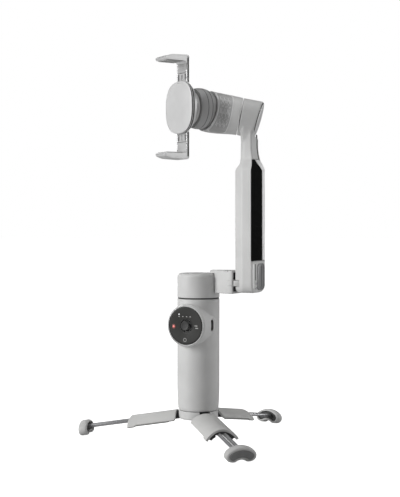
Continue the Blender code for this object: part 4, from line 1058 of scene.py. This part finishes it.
def make_leg(name, angle):
    place = leg_frame(angle)
    piece_local("leg_cover_" + name, leg_skin(), place, ("leg", "lining_and_shade"), "leg_" + name,
                ["leg_shell_" + name])
    centre = shift(-PIVOT_R, 0, 0)
    liner = [moved(sector(13.5, 14.75, 50, -SHELL_END + 0.9, -12, 40), centre)]
    liner += [moved(sector(11.9, 13.6, 12, -SHELL_END + 1.2, -12, 12), centre @ spin(turn))
              for turn in (-37, 37)]
    piece("leg_liner_" + name, eased(merged(*liner), 0.25, 2, 60), "dark", "leg_" + name, (),
          place)
    lug = soft([(3.2, -9), (3.2, 0), (2.3, 2.3), (0, 3.2), (-2.3, 2.3), (-3.2, 0), (-3.2, -9)], 0.8)
    root = eased(loft([[(x, y, z) for x, z in lug] for y in (-3.9, 3.9)]), 0.3, 3, 50)
    guide = box((-2.6, -5.0, -GUIDE_END), (2.6, 5.0, -7.9), 0.5, 3)
    holes = [moved(cylinder(1.8, -60, -9.2, 32), shift(0, y, 0))
             for y in (-ROD_Y, ROD_Y)]
    pin = moved(cylinder(1.3, -9, 9, 32), spin(90, "X"))
    piece("leg_root_" + name, cut(joined(root, guide), *holes, pin), "lining_and_shade", "leg_" + name, (),
          place)
    make_foot(name, place)


def piece_local(name, bm, place, kinds, body, replaces):
    """A piece whose second finish is chosen in its own frame before it is placed."""
    bmesh.ops.recalc_face_normals(bm, faces=bm.faces)
    for face in bm.faces:
        face.material_index = 1 if faces_inward(face) else 0
    item = piece(name, bm, kinds[0], body, replaces, place)
    item.data.materials.append(MATERIAL[kinds[1]])
    return item


def foot_outline(inset, steps=64):
    """A kidney shape with rounded ends, inset by an even margin."""
    middle, half = FOOT_MIDDLE, FOOT_HALF_WIDTH - inset
    reach = math.radians(FOOT_HALF_ANGLE) * middle - inset
    outer, inner = [], []
    for i in range(steps + 1):
        s = -reach * math.cos(math.pi * i / steps)
        past = max(0.0, 1 - (reach - abs(s)) / half)
        width = half * math.sqrt(max(0.0, 1 - past * past))
        turn = s / middle
        outer.append(((middle + width) * math.cos(turn) - PIVOT_R, (middle + width) * math.sin(turn)))
        inner.append(((middle - width) * math.cos(turn) - PIVOT_R, (middle - width) * math.sin(turn)))
    return outer + inner[-2:0:-1]


def make_foot(name, place):
    body = "foot_" + name
    rods = [moved(turned([(0, -89.8), (ROD_R, -89.8), (ROD_R, -34.3), (0, -34.3)], 0.2, 40), shift(0, y, 0))
            for y in (-ROD_Y, ROD_Y)]
    bar = box((-1.1, -ROD_Y, -89.4), (1.1, ROD_Y, -87.8), 0.1, 1)
    piece("leg_tubes_" + name, merged(*rods, bar), "rod", body, ["leg_rods_" + name], place)
    levels = ((-92, 1.5), (-91.8, 0.9), (-91.2, 0.3), (-90.4, 0), (-86.0, 0), (-85.1, 0.25), (-84.6, 0.8),
              (-84.4, 1.4))
    block = loft([[(x, y, z) for x, y in foot_outline(inset)] for z, inset in levels])
    socket = box((-1.8, -4.1, -90.1), (1.8, 4.1, -80))
    block = cut(block, socket, prism(foot_outline(2.2), -94, -90.9), prism(foot_outline(1.9), -86.9, -80))
    piece("foot_block_" + name, block, "foot", body, ["foot_" + name], place)
    pad = eased(prism(foot_outline(2.4), -92.5, -91.1), 0.35, 3, 60)
    piece("foot_sole_" + name, pad, "sole", body, ["foot_pad_" + name], place)
    lining_and_shade = cut(prism(foot_outline(2.1), -87.2, -86.5), box((-1.7, -4.0, -90), (1.7, 4.0, -80)))
    piece("foot_lining_" + name, lining_and_shade, "dark", body, (), place)


# ---------------------------------------------------------------- kept CAD nodes

KEPT = {
    "steel": ("trigger_pin", "pan_bearing", "pan_magnet_ring", "hinge_pin", "roll_bearing",
              "roll_magnet_ring",
              "mount_magnet", "clamp_magnet", "clamp_pinion", "thread_insert", "leg_pin_front",
              "leg_pin_right", "leg_pin_left"),
    "copper": ("pan_coil", "roll_coil", "tilt_motor"),
    "rod": ("rod_stage_1", "rod_stage_2", "rod_stage_3"),
    "cell": ("battery_cell",), "board": ("main_board",), "dark": ("pan_stator",),
    "lining_and_shade": ("joystick_yoke",),
}


def finish_kept_nodes():
    for kind, nodes in KEPT.items():
        for node in nodes:
            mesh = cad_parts[node].data
            mesh.materials.clear()
            mesh.materials.append(MATERIAL[kind])


# ---------------------------------------------------------------- studio

VIEW_TURN = math.radians(28.0)
VIEW_DISTANCE = 0.955
FOCAL_PIXELS, IMAGE_W, IMAGE_H = 1119.0, 400, 497
CENTRE_X, HORIZON_Y = 198.4, 223.0
CAMERA_HEIGHT, SENSOR = 0.1844, 36.0
AMBIENT, BACKDROP = 0.11, 1.0
LIGHTS = (  # name, place and target from the origin, size, power
    ("key", (-0.80, -0.90, 0.50), (0, 0, 0.16), (0.5, 0.9), 14),
    ("left", (-0.85, 0.65, 0.35), (0, 0, 0.16), (0.5, 0.9), 2),
    ("right", (1.1, -0.05, 0.45), (0, 0, 0.16), (0.5, 0.9), 1.9),
    ("back_right", (0.75, 0.75, 0.30), (0, 0, 0.16), (0.20, 0.9), 3),
    ("top", (0, 0, 1.1), (0, 0, 0.1), (0.7, 0.7), 3),
)


def make_camera():
    away = Vector((math.sin(VIEW_TURN), -math.cos(VIEW_TURN), 0))
    right = Vector((math.cos(VIEW_TURN), math.sin(VIEW_TURN), 0))
    data = bpy.data.cameras.new("studio_camera")
    data.sensor_width = SENSOR
    data.lens = SENSOR * FOCAL_PIXELS / IMAGE_H
    data.shift_y = -(IMAGE_H / 2 - HORIZON_Y) / IMAGE_H
    data.clip_start, data.clip_end = 0.01, 50
    camera = bpy.data.objects.new("studio_camera", data)
    bpy.context.scene.collection.objects.link(camera)
    side = right * ((IMAGE_W / 2 - CENTRE_X) / FOCAL_PIXELS * VIEW_DISTANCE)
    spot = ORIGIN + away * VIEW_DISTANCE + side + UP * CAMERA_HEIGHT
    camera.matrix_world = Matrix.Translation(spot) @ Matrix((right, UP, away)).transposed().to_4x4()
    bpy.context.scene.camera = camera


def area_light(name, spot, target, size, power):
    data = bpy.data.lights.new(name, "AREA")
    data.shape = "RECTANGLE"
    data.size, data.size_y = size
    data.energy = power
    item = bpy.data.objects.new(name, data)
    bpy.context.scene.collection.objects.link(item)
    item.location = ORIGIN + Vector(spot)
    item.rotation_mode = "QUATERNION"
    item.rotation_quaternion = (Vector(target) - Vector(spot)).to_track_quat("-Z", "Y")


def make_studio():
    world = bpy.data.worlds.new("studio")
    world.use_nodes = True
    tree = world.node_tree
    sky = tree.nodes["Background"]
    sky.inputs[0].default_value = (1, 1, 1, 1)
    ray = tree.nodes.new("ShaderNodeLightPath")
    strength = tree.nodes.new("ShaderNodeMapRange")
    strength.inputs[3].default_value = AMBIENT
    strength.inputs[4].default_value = BACKDROP
    tree.links.new(ray.outputs["Is Camera Ray"], strength.inputs[0])
    tree.links.new(strength.outputs[0], sky.inputs[1])
    bpy.context.scene.world = world
    bpy.context.scene.view_settings.view_transform = "Standard"
    for light in LIGHTS:
        area_light(*light)
    make_floor()


def make_floor():
    made, tree, shader = new_material("paper")
    fibre = noise(tree, 40, 4)
    tree.links.new(mix(tree, spread(tree, fibre, 0, 1), (0.55, 0.55, 0.55), (0.58, 0.58, 0.58)),
                   shader.inputs["Base Color"])
    shader.inputs["Roughness"].default_value = 0.9
    shader.inputs["Emission Color"].default_value = (1, 1, 1, 1)
    ray = tree.nodes.new("ShaderNodeLightPath")
    tree.links.new(spread(tree, ray.outputs["Is Camera Ray"], 0.02, 1.0, 0, 1),
                   shader.inputs["Emission Strength"])
    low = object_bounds()[0]
    bm = bmesh.new()
    bmesh.ops.create_circle(bm, cap_ends=True, segments=64, radius=12)
    mesh = bpy.data.meshes.new("floor")
    bm.to_mesh(mesh)
    bm.free()
    mesh.materials.append(made)
    floor = bpy.data.objects.new("floor", mesh)
    bpy.context.scene.collection.objects.link(floor)
    floor.location = (0, 0, low.z - 0.0001)


def main():
    make_handle()
    make_panel()
    make_trigger()
    make_pan()
    make_arm()
    make_latch()
    make_barrel()
    make_ball()
    make_clamp()
    make_hub()
    for name, angle in LEG_ANGLES.items():
        make_leg(name, angle)
    finish_kept_nodes()
    make_camera()
    make_studio()


main()
